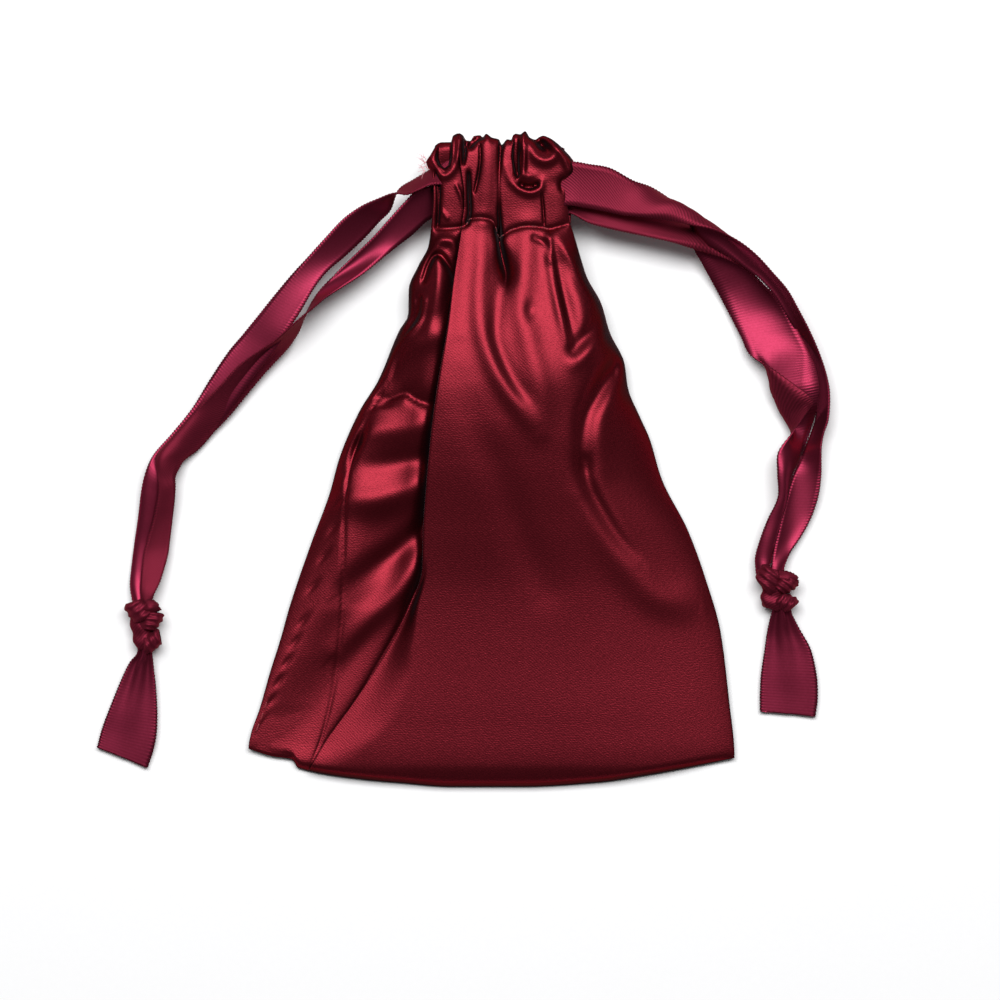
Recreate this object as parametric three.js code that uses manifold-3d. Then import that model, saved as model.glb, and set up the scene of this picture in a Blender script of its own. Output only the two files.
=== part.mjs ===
// A kinchaku drawstring pouch of satin, lying on its back with its mouth drawn shut.
// Millimetres, +Z up. The origin is under the middle of the cloth, on the surface it lies on.
// +Y points from the bottom fold to the gathered mouth.
//
// The cloth is one satin strip folded at the bottom, sewn up both sides and turned in at the
// mouth to make a casing. Two ribbons run right round inside the casing. One comes out of each
// side, where its two strands are tied together in a knot with two short tails.

import * as THREE from "three";
import { mergeVertices } from "three/addons/utils/BufferGeometryUtils.js";
import Module from "manifold-3d";

const wasm = await Module();
wasm.setup();

// ---------------------------------------------------------------- driving dimensions

const BOTTOM_Y = -60.2;
const TOP_Y = 60.2;
const FULL_HALF_WIDTH = 45.1;

// The outside of the cloth at rows up the pouch: y, left edge, right edge, height,
// height of the underside above the surface, height of the widest point.
const CLOTH_ROWS = [
  [BOTTOM_Y, -42.8, 43.4, 2.2, 0.5, 1.4],
  [-59.0, -44.4, 44.8, 4.8, 0, 1.9],
  [-55.0, -FULL_HALF_WIDTH, FULL_HALF_WIDTH, 7.6, 0, 2.2],
  [-48.0, -43.9, 44.7, 9.6, 0, 2.3],
  [-33.0, -39.1, 42.8, 11.2, 0, 2.4],
  [-15.0, -33.3, 37.4, 12.2, 0, 2.4],
  [1.0, -28.0, 30.6, 13.0, 0, 2.5],
  [15.0, -20.9, 25.2, 13.6, 0, 3.0],
  [27.0, -15.6, 21.2, 14.0, 0, 4.2],
  [36.0, -13.4, 17.0, 13.6, 0, 5.6],
  [41.0, -11.8, 14.6, 12.5, 0.8, 6.6],
  [43.6, -11.2, 13.8, 11.8, 1.6, 7.0],
  [46.5, -12.0, 14.2, 13.8, 0.4, 7.0],
  [52.0, -12.6, 14.6, 15.0, 0, 7.0],
  [57.5, -12.2, 14.8, 14.2, 0.3, 7.0],
  [TOP_Y, -10.6, 13.2, 11.2, 1.6, 7.0],
];
const ROWS_BETWEEN = 2; // sections per table row
const AROUND = 56; // points round the outside
const AROUND_INSIDE = 40;
const CROWN = 0.8; // under 1 makes the top fuller than an ellipse
const FLAT_FROM = 0.5; // share of the way round each side where the underside turns flat

const WALL = 0.7; // satin with its turned edges
const BOTTOM_BOW = 5.6; // how far the bottom corners sit above the middle of the bottom fold
const BOW_ENDS_Y = -15;

const PLEATS = 7; // gathers across the upper side
const PLEAT_HEIGHT = 1.3;

const NECK_X = 1;
const NECK_Z = 7;
const CAVITY_TOP_Y = 36; // above this the inside closes up towards the mouth
const MOUTH = { halfWidth: 1.7, halfHeight: 1.1 };
const CASING = { fromY: 44.4, toY: 58.4, skin: 0.9 };
const CASING_CORE = { halfWidth: 7.5, halfHeight: 2.3 };
const SLIT = { fromY: 44.5, toY: 57.8, fromZ: 3.1, toZ: 11.2, depth: 9 };

const SEAM_FROM_Y = -53;
const SEAM_TO_Y = 35;
const SEAM_ALLOWANCE = 5.5; // how far the sewn edges reach inside
const SEAM_THICKNESS = 1;

const THREAD_RADIUS = 0.28;
const THREAD_GAP = 0.32;

const RIBBON_WIDTH = 10;
const RIBBON_THICKNESS = 0.6;
const BUNCHED_WIDTH = 5.6; // inside the casing
const KNOTTED_WIDTH = 4.4;
const RIBBON_STEPS = 96;
const TAIL_STEPS = 8;
const LEFT_LANE_Y = 54.4; // the left ribbon's place inside the casing
const RIGHT_LANE_Y = 47.6;

// A strand's places from its knot to the casing: x, y, z, width.
const LEFT_FRONT = [
  [-64.0, -28.0, 2.6, KNOTTED_WIDTH],
  [-63.2, -22.0, 2.0, 6.5],
  [-62.2, -14.0, 1.8, 9.0],
  [-60.9, -5.0, 1.8, RIBBON_WIDTH],
  [-57.2, 2.6, 2.0, RIBBON_WIDTH],
  [-50.6, 11.8, 2.6, RIBBON_WIDTH],
  [-43.8, 20.4, 3.6, RIBBON_WIDTH],
  [-36.4, 29.8, 4.9, RIBBON_WIDTH],
  [-28.6, 39.2, 6.4, RIBBON_WIDTH],
  [-20.4, 46.8, 7.8, 8.6],
  [-14.6, 52.0, 8.5, 6.0],
];
const LEFT_BACK = [
  [-63.9, -28.0, 1.4, KNOTTED_WIDTH],
  [-62.6, -22.0, 0.8, 6.5],
  [-61.2, -14.0, 0.6, 9.0],
  [-59.4, -5.6, 0.6, RIBBON_WIDTH],
  [-55.0, 2.6, 0.7, RIBBON_WIDTH],
  [-48.4, 10.4, 0.9, RIBBON_WIDTH],
  [-41.6, 17.8, 1.3, RIBBON_WIDTH],
  [-34.6, 26.2, 1.9, RIBBON_WIDTH],
  [-27.2, 35.2, 2.7, RIBBON_WIDTH],
  [-20.0, 44.2, 3.7, 8.2],
  [-14.6, 51.4, 4.5, 6.0],
];
const RIGHT_FRONT = [
  [52.8, -21.6, 2.6, KNOTTED_WIDTH],
  [53.8, -15.6, 2.0, 7.0],
  [55.8, -8.0, 1.8, 9.4],
  [57.6, 1.4, 1.8, RIBBON_WIDTH],
  [58.0, 10.8, 2.0, RIBBON_WIDTH],
  [55.2, 19.8, 2.5, RIBBON_WIDTH],
  [51.2, 27.4, 3.2, RIBBON_WIDTH],
  [46.4, 34.6, 4.2, RIBBON_WIDTH],
  [39.4, 40.8, 5.4, RIBBON_WIDTH],
  [30.8, 45.6, 6.8, RIBBON_WIDTH],
  [22.8, 49.0, 8.0, 8.0],
  [16.6, 50.0, 8.5, 5.6],
];
const RIGHT_BACK = [
  [52.6, -21.6, 1.4, KNOTTED_WIDTH],
  [53.4, -15.6, 0.8, 7.0],
  [55.2, -8.0, 0.6, 9.4],
  [57.0, 1.0, 0.6, RIBBON_WIDTH],
  [56.8, 9.6, 0.7, RIBBON_WIDTH],
  [53.8, 17.6, 0.9, RIBBON_WIDTH],
  [49.6, 25.4, 1.2, RIBBON_WIDTH],
  [44.4, 32.4, 1.7, RIBBON_WIDTH],
  [37.8, 38.4, 2.3, RIBBON_WIDTH],
  [30.0, 43.0, 3.1, RIBBON_WIDTH],
  [22.4, 47.4, 3.9, 7.6],
  [16.6, 50.0, 4.5, 5.6],
];

// The lap inside the casing, for a ribbon that comes out on the left: x and z from the
// neck's middle. A ribbon that comes out on the right has it the other way round.
const LAP = [
  [-12.2, 1.6],
  [-8.6, 3.0],
  [-4.2, 3.6],
  [0, 3.7],
  [4.2, 3.6],
  [8.2, 2.5],
  [9.9, 0],
  [8.2, -2.5],
  [4.2, -3.5],
  [0, -3.6],
  [-4.2, -3.5],
  [-8.6, -2.9],
  [-12.2, -2.2],
];

const LEFT_TAIL = [
  [-64.2, -32.6],
  [-65.2, -40.2],
  [-66.7, -47.0],
  [-68.8, -54.4],
];
const RIGHT_TAIL = [
  [53.7, -25.2],
  [54.4, -33.0],
  [54.8, -39.6],
  [55.0, -46.6],
];
const TAIL_LEVELS = [0.6, 1.6];
const TAIL_DROP = 1.5; // a tail starts this much higher, inside its knot

const LEFT_KNOT = { x: -64.1, y: -30.8, halfWidth: 3.1, halfLength: 5.4, turn: 0.12 };
const RIGHT_KNOT = { x: 53.0, y: -24.0, halfWidth: 3.7, halfLength: 4.2, turn: -0.1 };
const KNOT_HEIGHT = 5;
const KNOT_BAND = 0.75; // radius of the turn that lies across the knot

const CLOTH_COLOUR = 0x7d1222;
const RIBBON_COLOUR = 0x8c1638;
const THREAD_COLOUR = 0x6b0f1f;

// ---------------------------------------------------------------- solids and meshes

function solidFrom(geometry) {
  const bare = geometry.clone();
  bare.deleteAttribute("normal");
  bare.deleteAttribute("uv");
  const merged = mergeVertices(bare, 1e-4);
  return new wasm.Manifold(
    new wasm.Mesh({
      numProp: 3,
      vertProperties: merged.attributes.position.array,
      triVerts: new Uint32Array(merged.index.array),
    }),
  );
}

function geometryFrom(solid) {
  const mesh = solid.getMesh();
  const geometry = new THREE.BufferGeometry();
  geometry.setAttribute("position", new THREE.BufferAttribute(mesh.vertProperties, 3));
  geometry.setIndex(new THREE.BufferAttribute(mesh.triVerts, 1));
  geometry.computeVertexNormals();
  return geometry;
}

// Faces that close a ring, as a strip across it from each point to the one opposite.
function endCap(count, first, flip) {
  const faces = [];
  for (let i = 0; i < count / 2; i += 1) {
    const [a, b] = [i, i + 1];
    const [c, d] = [count - i - 1, (count - i) % count];
    if (b !== c) faces.push([a, b, c]);
    if (d !== a) faces.push([a, c, d]);
  }
  return faces.flatMap(([a, b, c]) => (flip ? [a, c, b] : [a, b, c]).map((k) => first + k));
}

// A closed skin over rings of points that all have the same count, run the same way round.
function loft(rings) {
  const count = rings[0].length;
  const points = rings.flat();
  const faces = [];
  rings.slice(1).forEach((_, row) => {
    for (let i = 0; i < count; i += 1) {
      const j = (i + 1) % count;
      const low = row * count;
      const high = low + count;
      faces.push(low + i, high + i, low + j);
      faces.push(low + j, high + i, high + j);
    }
  });
  faces.push(...endCap(count, 0, false), ...endCap(count, (rings.length - 1) * count, true));
  const geometry = new THREE.BufferGeometry().setFromPoints(points);
  geometry.setIndex(faces);
  return geometry;
}

function boxBetween(low, high) {
  const size = high.clone().sub(low);
  const box = new THREE.BoxGeometry(size.x, size.y, size.z);
  const middle = low.clone().add(high).multiplyScalar(0.5);
  return box.translate(middle.x, middle.y, middle.z);
}

// ---------------------------------------------------------------- the cloth's shape

const rowValues = CLOTH_ROWS.map((row) => row.slice(1)).flat();
const rowPlaces = CLOTH_ROWS.map((row) => row[0]);
const clothRows = new THREE.CubicInterpolant(rowPlaces, rowValues, 5);

function rowAt(y) {
  const [left, right, height, lift, edge] = clothRows.evaluate(y);
  return { left, right, height, lift: Math.max(0, lift), edge };
}

function inset(row, by) {
  return {
    left: row.left + by,
    right: row.right - by,
    height: row.height - 2 * by,
    lift: row.lift + by,
    edge: Math.max(row.edge, row.lift + 1.4 * by),
  };
}

function oval(middleX, middleZ, halfWidth, halfHeight) {
  return {
    left: middleX - halfWidth,
    right: middleX + halfWidth,
    height: 2 * halfHeight,
    lift: middleZ - halfHeight,
    edge: middleZ,
  };
}

function pleatHeight(y) {
  const body = THREE.MathUtils.smoothstep(y, -5, 28) * (1 - THREE.MathUtils.smoothstep(y, 34, 42));
  const ruffle = THREE.MathUtils.smoothstep(y, 46, 52);
  return PLEAT_HEIGHT * Math.max(body, ruffle);
}

// The bottom fold bows: towards the corners it sits higher up the pouch.
function bowed(x, y, z) {
  const share = Math.max(0, (BOW_ENDS_Y - y) / (BOW_ENDS_Y - BOTTOM_Y));
  return new THREE.Vector3(x, y + BOTTOM_BOW * share * (x / FULL_HALF_WIDTH) ** 2, z);
}

// One point of a section: angle 0 is the right edge, a quarter turn is the crown.
function sectionPoint(row, y, angle, pleat = 0) {
  const side = Math.cos(angle);
  const rise = Math.sin(angle);
  const middle = (row.left + row.right) / 2;
  const x = middle + (side * (row.right - row.left)) / 2;
  const top = row.lift + row.height;
  if (rise >= 0) {
    const wave = 0.5 + 0.5 * Math.cos(PLEATS * 2 * angle);
    const z = row.edge + (top - row.edge) * rise ** CROWN + pleat * wave * rise;
    return bowed(x, y, z);
  }
  const under = Math.max(0, 1 + rise / FLAT_FROM);
  return bowed(x, y, row.lift + (row.edge - row.lift) * under ** 1.5);
}

function section(row, y, count, pleat = 0) {
  const ring = [];
  for (let i = 0; i < count; i += 1) {
    ring.push(sectionPoint(row, y, (i / count) * 2 * Math.PI, pleat));
  }
  return ring;
}

function placesBetween(fromY, toY) {
  const inner = rowPlaces.filter((y) => y > fromY && y < toY);
  const ends = [fromY, ...inner, toY];
  return ends.flatMap((y, i) => {
    if (i === ends.length - 1) return [y];
    const step = (ends[i + 1] - y) / ROWS_BETWEEN;
    return Array.from({ length: ROWS_BETWEEN }, (_, k) => y + k * step);
  });
}

function outerCloth() {
  const rings = placesBetween(BOTTOM_Y, TOP_Y).map((y) =>
    section(rowAt(y), y, AROUND, pleatHeight(y)),
  );
  return solidFrom(loft(rings));
}

function insideSpace() {
  const rings = placesBetween(BOTTOM_Y + 2 * WALL, CAVITY_TOP_Y).map((y) =>
    section(inset(rowAt(y), WALL), y, AROUND_INSIDE),
  );
  const mouth = oval(NECK_X, NECK_Z, MOUTH.halfWidth, MOUTH.halfHeight);
  rings.push(section(mouth, CAVITY_TOP_Y + 5, AROUND_INSIDE));
  rings.push(section(mouth, TOP_Y + 1, AROUND_INSIDE));
  return solidFrom(loft(rings));
}

function casingTunnel() {
  const rings = placesBetween(CASING.fromY, CASING.toY).map((y) =>
    section(inset(rowAt(y), CASING.skin), y, AROUND_INSIDE),
  );
  const core = oval(NECK_X, NECK_Z, CASING_CORE.halfWidth, CASING_CORE.halfHeight);
  const coreRings = [CASING.fromY - 1, CASING.toY + 1].map((y) => section(core, y, AROUND_INSIDE));
  return solidFrom(loft(rings)).subtract(solidFrom(loft(coreRings)));
}

function casingSlit(side) {
  const inner = NECK_X + side * (CASING_CORE.halfWidth + 1.5);
  const outer = inner + side * SLIT.depth;
  const low = new THREE.Vector3(Math.min(inner, outer), SLIT.fromY, SLIT.fromZ);
  const high = new THREE.Vector3(Math.max(inner, outer), SLIT.toY, SLIT.toZ);
  return solidFrom(boxBetween(low, high));
}

// The two cut edges of a side seam, which stand inside the pouch as a narrow flat strip.
function seamAllowance(side) {
  const rings = placesBetween(SEAM_FROM_Y - 1.5, SEAM_TO_Y).map((y) => {
    const row = rowAt(y);
    const edge = side < 0 ? row.left : row.right;
    const near = edge - side * 0.3;
    const far = edge - side * SEAM_ALLOWANCE;
    const [first, second] = side < 0 ? [near, far] : [far, near];
    const low = row.edge - SEAM_THICKNESS / 2;
    const high = row.edge + SEAM_THICKNESS / 2;
    return [
      bowed(second, y, low),
      bowed(second, y, high),
      bowed(first, y, high),
      bowed(first, y, low),
    ];
  });
  return solidFrom(loft(rings));
}

function pouchCloth() {
  const hollow = insideSpace().subtract(seamAllowance(-1)).subtract(seamAllowance(1));
  const tunnel = casingTunnel().add(casingSlit(-1)).add(casingSlit(1));
  return outerCloth().subtract(hollow).subtract(tunnel);
}

// ---------------------------------------------------------------- threads

function threadAlong(points, steps) {
  const path = new THREE.CatmullRomCurve3(points);
  const round = new THREE.Shape().absarc(0, 0, THREAD_RADIUS, 0, 2 * Math.PI, false);
  return new THREE.ExtrudeGeometry(round, {
    steps,
    curveSegments: 4,
    bevelEnabled: false,
    extrudePath: path,
  });
}

// The row of stitches that closes the casing, on the upper side or under it.
function casingThread(fromAngle, toAngle) {
  const y = 43.6;
  const clear = THREAD_RADIUS + THREAD_GAP;
  const row = inset(rowAt(y), -clear);
  row.edge = NECK_Z;
  const points = [];
  for (let i = 0; i <= 12; i += 1) {
    points.push(sectionPoint(row, y, fromAngle + ((toAngle - fromAngle) * i) / 12));
  }
  return threadAlong(points, 26);
}

// The row of stitches that joins front and back, lying on the seam's allowance.
function seamThread(side) {
  const count = 10;
  const points = [];
  for (let i = 0; i <= count; i += 1) {
    const y = SEAM_FROM_Y + 2 + ((SEAM_TO_Y - SEAM_FROM_Y - 4) * i) / count;
    const row = rowAt(y);
    const edge = side < 0 ? row.left : row.right;
    const z = row.edge + SEAM_THICKNESS / 2 + THREAD_GAP + THREAD_RADIUS;
    points.push(bowed(edge - side * (SEAM_ALLOWANCE - 1.6), y, z));
  }
  return threadAlong(points, 28);
}

// ---------------------------------------------------------------- ribbons

// A path whose frames carry the ribbon's width, so that a section one millimetre wide is
// stretched to the width at each place. Each station has a place, a width and the way it faces.
class RibbonPath extends THREE.CatmullRomCurve3 {
  constructor(stations) {
    super(
      stations.map((s) => s.place),
      false,
      "centripetal",
    );
    this.stations = stations;
  }

  computeFrenetFrames(steps) {
    const tangents = [];
    const normals = [];
    const binormals = [];
    const last = this.stations.length - 1;
    for (let i = 0; i <= steps; i += 1) {
      const t = this.getUtoTmapping(i / steps);
      const index = Math.min(Math.floor(t * last), last - 1);
      const share = t * last - index;
      const from = this.stations[index];
      const to = this.stations[index + 1];
      const face = from.face.clone().lerp(to.face, share);
      const width = THREE.MathUtils.lerp(from.width, to.width, share);
      const tangent = this.getTangent(t);
      const across = tangent.clone().cross(face).normalize();
      tangents.push(tangent);
      binormals.push(tangent.clone().cross(across).normalize());
      normals.push(across.multiplyScalar(width));
    }
    return { tangents, normals, binormals };
  }
}

function ribbonSolid(stations, steps) {
  const half = RIBBON_THICKNESS / 2;
  const outline = [
    [-0.5, 0],
    [-0.46, -half],
    [0, -half],
    [0.46, -half],
    [0.5, 0],
    [0.46, half],
    [0, half],
    [-0.46, half],
  ];
  const shape = new THREE.Shape(outline.map(([x, y]) => new THREE.Vector2(x, y)));
  const extrudePath = new RibbonPath(stations);
  return solidFrom(
    new THREE.ExtrudeGeometry(shape, { steps, bevelEnabled: false, extrudePath }),
  );
}

const UP = new THREE.Vector3(0, 0, 1);
const DOWN = new THREE.Vector3(0, 0, -1);

function strand(rows, face) {
  return rows.map(([x, y, z, width]) => ({ place: new THREE.Vector3(x, y, z), width, face }));
}

function lapInCasing(side, laneY) {
  return LAP.map(([x, z]) => ({
    place: new THREE.Vector3(NECK_X + side * x, laneY, NECK_Z + z),
    width: BUNCHED_WIDTH,
    face: new THREE.Vector3(side * x, 0, z * 3).normalize(),
  }));
}

function tail(points, level) {
  const widths = [KNOTTED_WIDTH, 7.4, 9.4, RIBBON_WIDTH];
  const stations = points.map(([x, y], i) => ({
    place: new THREE.Vector3(x, y, i === 0 ? level + TAIL_DROP : level),
    width: widths[i],
    face: UP,
  }));
  return ribbonSolid(stations, TAIL_STEPS);
}

function knot(size) {
  const lump = new THREE.SphereGeometry(1, 16, 10);
  lump.scale(size.halfWidth, size.halfLength, KNOT_HEIGHT / 2);
  const band = new THREE.TorusGeometry(1, KNOT_BAND / 3, 8, 18);
  band.rotateX(Math.PI / 2);
  band.scale(size.halfWidth, 3, KNOT_HEIGHT / 2 - KNOT_BAND / 2);
  return [lump, band].map((shape) => {
    shape.rotateZ(size.turn);
    shape.translate(size.x, size.y, KNOT_HEIGHT / 2 + TAIL_LEVELS[0] / 2);
    return solidFrom(shape);
  });
}

function ribbon(side, laneY, front, back, knotSize, tailPoints) {
  const stations = [
    ...strand(front, UP),
    ...lapInCasing(side, laneY),
    ...strand([...back].reverse(), DOWN),
  ];
  const pieces = [
    ...knot(knotSize),
    ...TAIL_LEVELS.map((level) => tail(tailPoints, level)),
  ];
  return pieces.reduce((whole, piece) => whole.add(piece), ribbonSolid(stations, RIBBON_STEPS));
}

// ---------------------------------------------------------------- the assembly

function satin(colour, roughness) {
  return new THREE.MeshStandardMaterial({ color: colour, roughness, metalness: 0 });
}

function piece(name, geometry, material) {
  const mesh = new THREE.Mesh(geometry, material);
  mesh.name = name;
  return mesh;
}

const left = ribbon(1, LEFT_LANE_Y, LEFT_FRONT, LEFT_BACK, LEFT_KNOT, LEFT_TAIL);
const right = ribbon(-1, RIGHT_LANE_Y, RIGHT_FRONT, RIGHT_BACK, RIGHT_KNOT, RIGHT_TAIL);

const ribbons = new THREE.Group();
ribbons.add(piece("left_ribbon", geometryFrom(left), satin(RIBBON_COLOUR, 0.4)));
ribbons.add(piece("right_ribbon", geometryFrom(right), satin(RIBBON_COLOUR, 0.4)));

const threads = new THREE.Group();
const threadFinish = () => satin(THREAD_COLOUR, 0.55);
const degrees = THREE.MathUtils.degToRad;
threads.add(
  piece("casing_thread_front", casingThread(degrees(24), degrees(156)), threadFinish()),
  piece("casing_thread_back", casingThread(degrees(204), degrees(336)), threadFinish()),
  piece("left_seam_thread", seamThread(-1), threadFinish()),
  piece("right_seam_thread", seamThread(1), threadFinish()),
);

const group = new THREE.Group();
group.add(piece("pouch_cloth", geometryFrom(pouchCloth()), satin(CLOTH_COLOUR, 0.45)));
group.add(ribbons);
group.add(threads);

export default group;
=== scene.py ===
"""A kinchaku drawstring pouch of deep red satin, lying on its back with its mouth drawn shut.

Lengths in the tables are millimetres on the shared frame: the origin is under the middle of
the cloth, +Y points to the gathered mouth, and Z is 0 on the surface that the pouch lies on.
"""

import logging
import math
from dataclasses import dataclass
from enum import Enum
from typing import Any, Sequence

import bpy
import numpy as np
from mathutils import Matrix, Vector


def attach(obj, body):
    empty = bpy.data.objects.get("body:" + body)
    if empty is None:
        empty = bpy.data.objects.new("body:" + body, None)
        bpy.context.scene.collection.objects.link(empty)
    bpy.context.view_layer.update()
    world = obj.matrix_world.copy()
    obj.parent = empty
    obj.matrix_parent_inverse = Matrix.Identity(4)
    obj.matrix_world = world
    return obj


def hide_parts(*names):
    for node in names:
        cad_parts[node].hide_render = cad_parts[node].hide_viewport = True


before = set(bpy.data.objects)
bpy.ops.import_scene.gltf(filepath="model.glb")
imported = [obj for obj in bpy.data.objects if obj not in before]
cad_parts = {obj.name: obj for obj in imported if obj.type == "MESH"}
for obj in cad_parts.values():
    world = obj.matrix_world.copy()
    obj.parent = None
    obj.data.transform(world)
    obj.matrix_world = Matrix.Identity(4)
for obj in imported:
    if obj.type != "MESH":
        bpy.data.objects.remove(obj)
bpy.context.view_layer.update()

LOG = logging.getLogger("pouch")

MM = 0.001
TAU = 2 * math.pi
BODY = "root"

Point2 = tuple[float, float]
Point3 = tuple[float, float, float]
Station = tuple[Point3, Point3, Point3]
Colour = tuple[float, float, float, float]


# ------------------------------------------------------------------------ curves and grids


def catmull(points: np.ndarray, at: np.ndarray) -> np.ndarray:
    """Read a Catmull-Rom curve.

    Args:
        points: The points that the curve passes through, one a row.
        at: Places along it, counted in points.

    Returns:
        The curve's points, one a row.
    """
    low = np.clip(at.astype(int), 0, len(points) - 2)
    part = (at - low)[:, None]
    ends = [2 * points[:1] - points[1:2], points, 2 * points[-1:] - points[-2:-1]]
    all_points = np.vstack(ends)
    a, b, c, d = (all_points[low + i] for i in range(4))
    linear = (c - a) * part
    square = (2 * a - 5 * b + 4 * c - d) * part**2
    cube = (3 * b - a - 3 * c + d) * part**3
    return 0.5 * (2 * b + linear + square + cube)


def eased(knots: Sequence[float], values: Sequence[float], at: np.ndarray) -> np.ndarray:
    """Read a table smoothly, without running past its values.

    Args:
        knots: The table's places, rising.
        values: The value at each place.
        at: The places to read.

    Returns:
        The values there.
    """
    x = np.asarray(knots, float)
    y = np.asarray(values, float)
    step = np.diff(x)
    slope = np.diff(y) / step
    total = slope[:-1] + slope[1:]
    product = slope[:-1] * slope[1:]
    inner = np.where(product > 0, 2 * product / np.where(product > 0, total, 1), 0)
    slopes = np.concatenate([slope[:1], inner, slope[-1:]])
    at = np.clip(at, x[0], x[-1])
    low = np.clip(np.searchsorted(x, at, side="right") - 1, 0, len(x) - 2)
    span = step[low]
    t = (at - x[low]) / span
    start = (1 + 2 * t) * (1 - t) ** 2 * y[low] + t * (1 - t) ** 2 * span * slopes[low]
    end = t**2 * (3 - 2 * t) * y[low + 1] + t**2 * (t - 1) * span * slopes[low + 1]
    return start + end


def read(table: Sequence[Point2], at: np.ndarray) -> np.ndarray:
    """Read a table of places and values smoothly."""
    return eased(*zip(*table), at)


def ramp(value: np.ndarray, low: float, high: float) -> np.ndarray:
    """Rise smoothly from 0 at low to 1 at high.

    Args:
        value: The values to read.
        low: Where the rise starts.
        high: Where it ends.

    Returns:
        The share of the rise at each value.
    """
    t = np.clip((value - low) / (high - low), 0, 1)
    return t * t * (3 - 2 * t)


def softened(count: int) -> np.ndarray:
    """Space places from 0 to 1 in one row, somewhat closer at both ends."""
    u = np.linspace(0, 1, count)
    return (0.62 * u + 0.38 * (0.5 - 0.5 * np.cos(math.pi * u)))[None, :]


def rounded(distance: np.ndarray, reach: float) -> np.ndarray:
    """Rise like a quarter of an ellipse, from 0 at an edge to 1 at reach from it.

    Args:
        distance: Distances from the edge.
        reach: Where the rise ends.

    Returns:
        The share of the rise at each distance.
    """
    return np.sqrt(1 - (1 - np.clip(distance / reach, 0, 1)) ** 2)


class MeshBuilder:
    """Collects grids of points and turns them into one smooth mesh."""

    def __init__(self) -> None:
        """Start with nothing."""
        self.points: list[np.ndarray] = []
        self.faces: list[np.ndarray] = []
        self.weave: list[np.ndarray] = []
        self.count = 0

    def grid(self, points: np.ndarray, weave: np.ndarray, closed: bool = False) -> None:
        """Add a grid of quads.

        Args:
            points: Rows by columns by three, in millimetres.
            weave: Rows by columns by two, the place on the flat cloth in millimetres.
            closed: Whether the last column joins the first.
        """
        rows, columns = points.shape[:2]
        index = np.arange(rows * columns).reshape(rows, columns) + self.count
        if closed:
            index = np.hstack([index, index[:, :1]])
        corners = [index[:-1, :-1], index[:-1, 1:], index[1:, 1:], index[1:, :-1]]
        self.faces.append(np.stack(corners, axis=-1).reshape(-1, 4))
        self.points.append(points.reshape(-1, 3))
        self.weave.append(weave.reshape(-1, 2))
        self.count += rows * columns

    def tube(self, rings: np.ndarray, weave: np.ndarray) -> None:
        """Add a closed tube, with both ends filled.

        Args:
            rings: Rings by points by three, in millimetres.
            weave: Rings by points by two, the place on the flat cloth in millimetres.
        """
        middles = rings[[0, -1]].mean(axis=1, keepdims=True)
        ends = np.broadcast_to(middles, (2, rings.shape[1], 3))
        closed = np.concatenate([ends[:1], rings, ends[1:]])
        self.grid(closed, np.concatenate([weave[:1], weave, weave[-1:]]), closed=True)

    def thread(
        self, spine: np.ndarray, way: np.ndarray, thick: np.ndarray, sides: int, weave: np.ndarray
    ) -> None:
        """Add a round thread, with both ends filled.

        Args:
            spine: The thread's middle line.
            way: Its direction, the same all along or one for each point.
            thick: Its radius at each point.
            sides: How many points go round it.
            weave: Points by sides by two, its place on a flat map.
        """
        level = np.cross(way, (0, 0, 1.0))
        level /= np.linalg.norm(level, axis=-1, keepdims=True)
        up = np.cross(level, way)
        turn = np.linspace(0, TAU, sides + 1)[:-1, None]
        ring = level[..., None, :] * np.cos(turn) + up[..., None, :] * np.sin(turn)
        self.tube(spine[:, None] + ring * thick[:, None, None], weave)

    def make(self, name: str) -> bpy.types.Object:
        """Make the mesh object.

        Args:
            name: The piece's name.

        Returns:
            The new object, in the scene and in metres.
        """
        mesh = bpy.data.meshes.new(name)
        points = np.vstack(self.points) * MM
        mesh.from_pydata(points.tolist(), [], np.vstack(self.faces).tolist())
        mesh.update()
        corners = np.empty(len(mesh.loops), dtype=np.int32)
        mesh.loops.foreach_get("vertex_index", corners)
        layer = mesh.uv_layers.new(name="weave")
        layer.data.foreach_set("uv", np.vstack(self.weave)[corners].ravel())
        mesh.polygons.foreach_set("use_smooth", [True] * len(mesh.polygons))
        mesh.validate()
        piece = bpy.data.objects.new(name, mesh)
        bpy.context.scene.collection.objects.link(piece)
        return piece


# ------------------------------------------------------------------------ finishes


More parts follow.
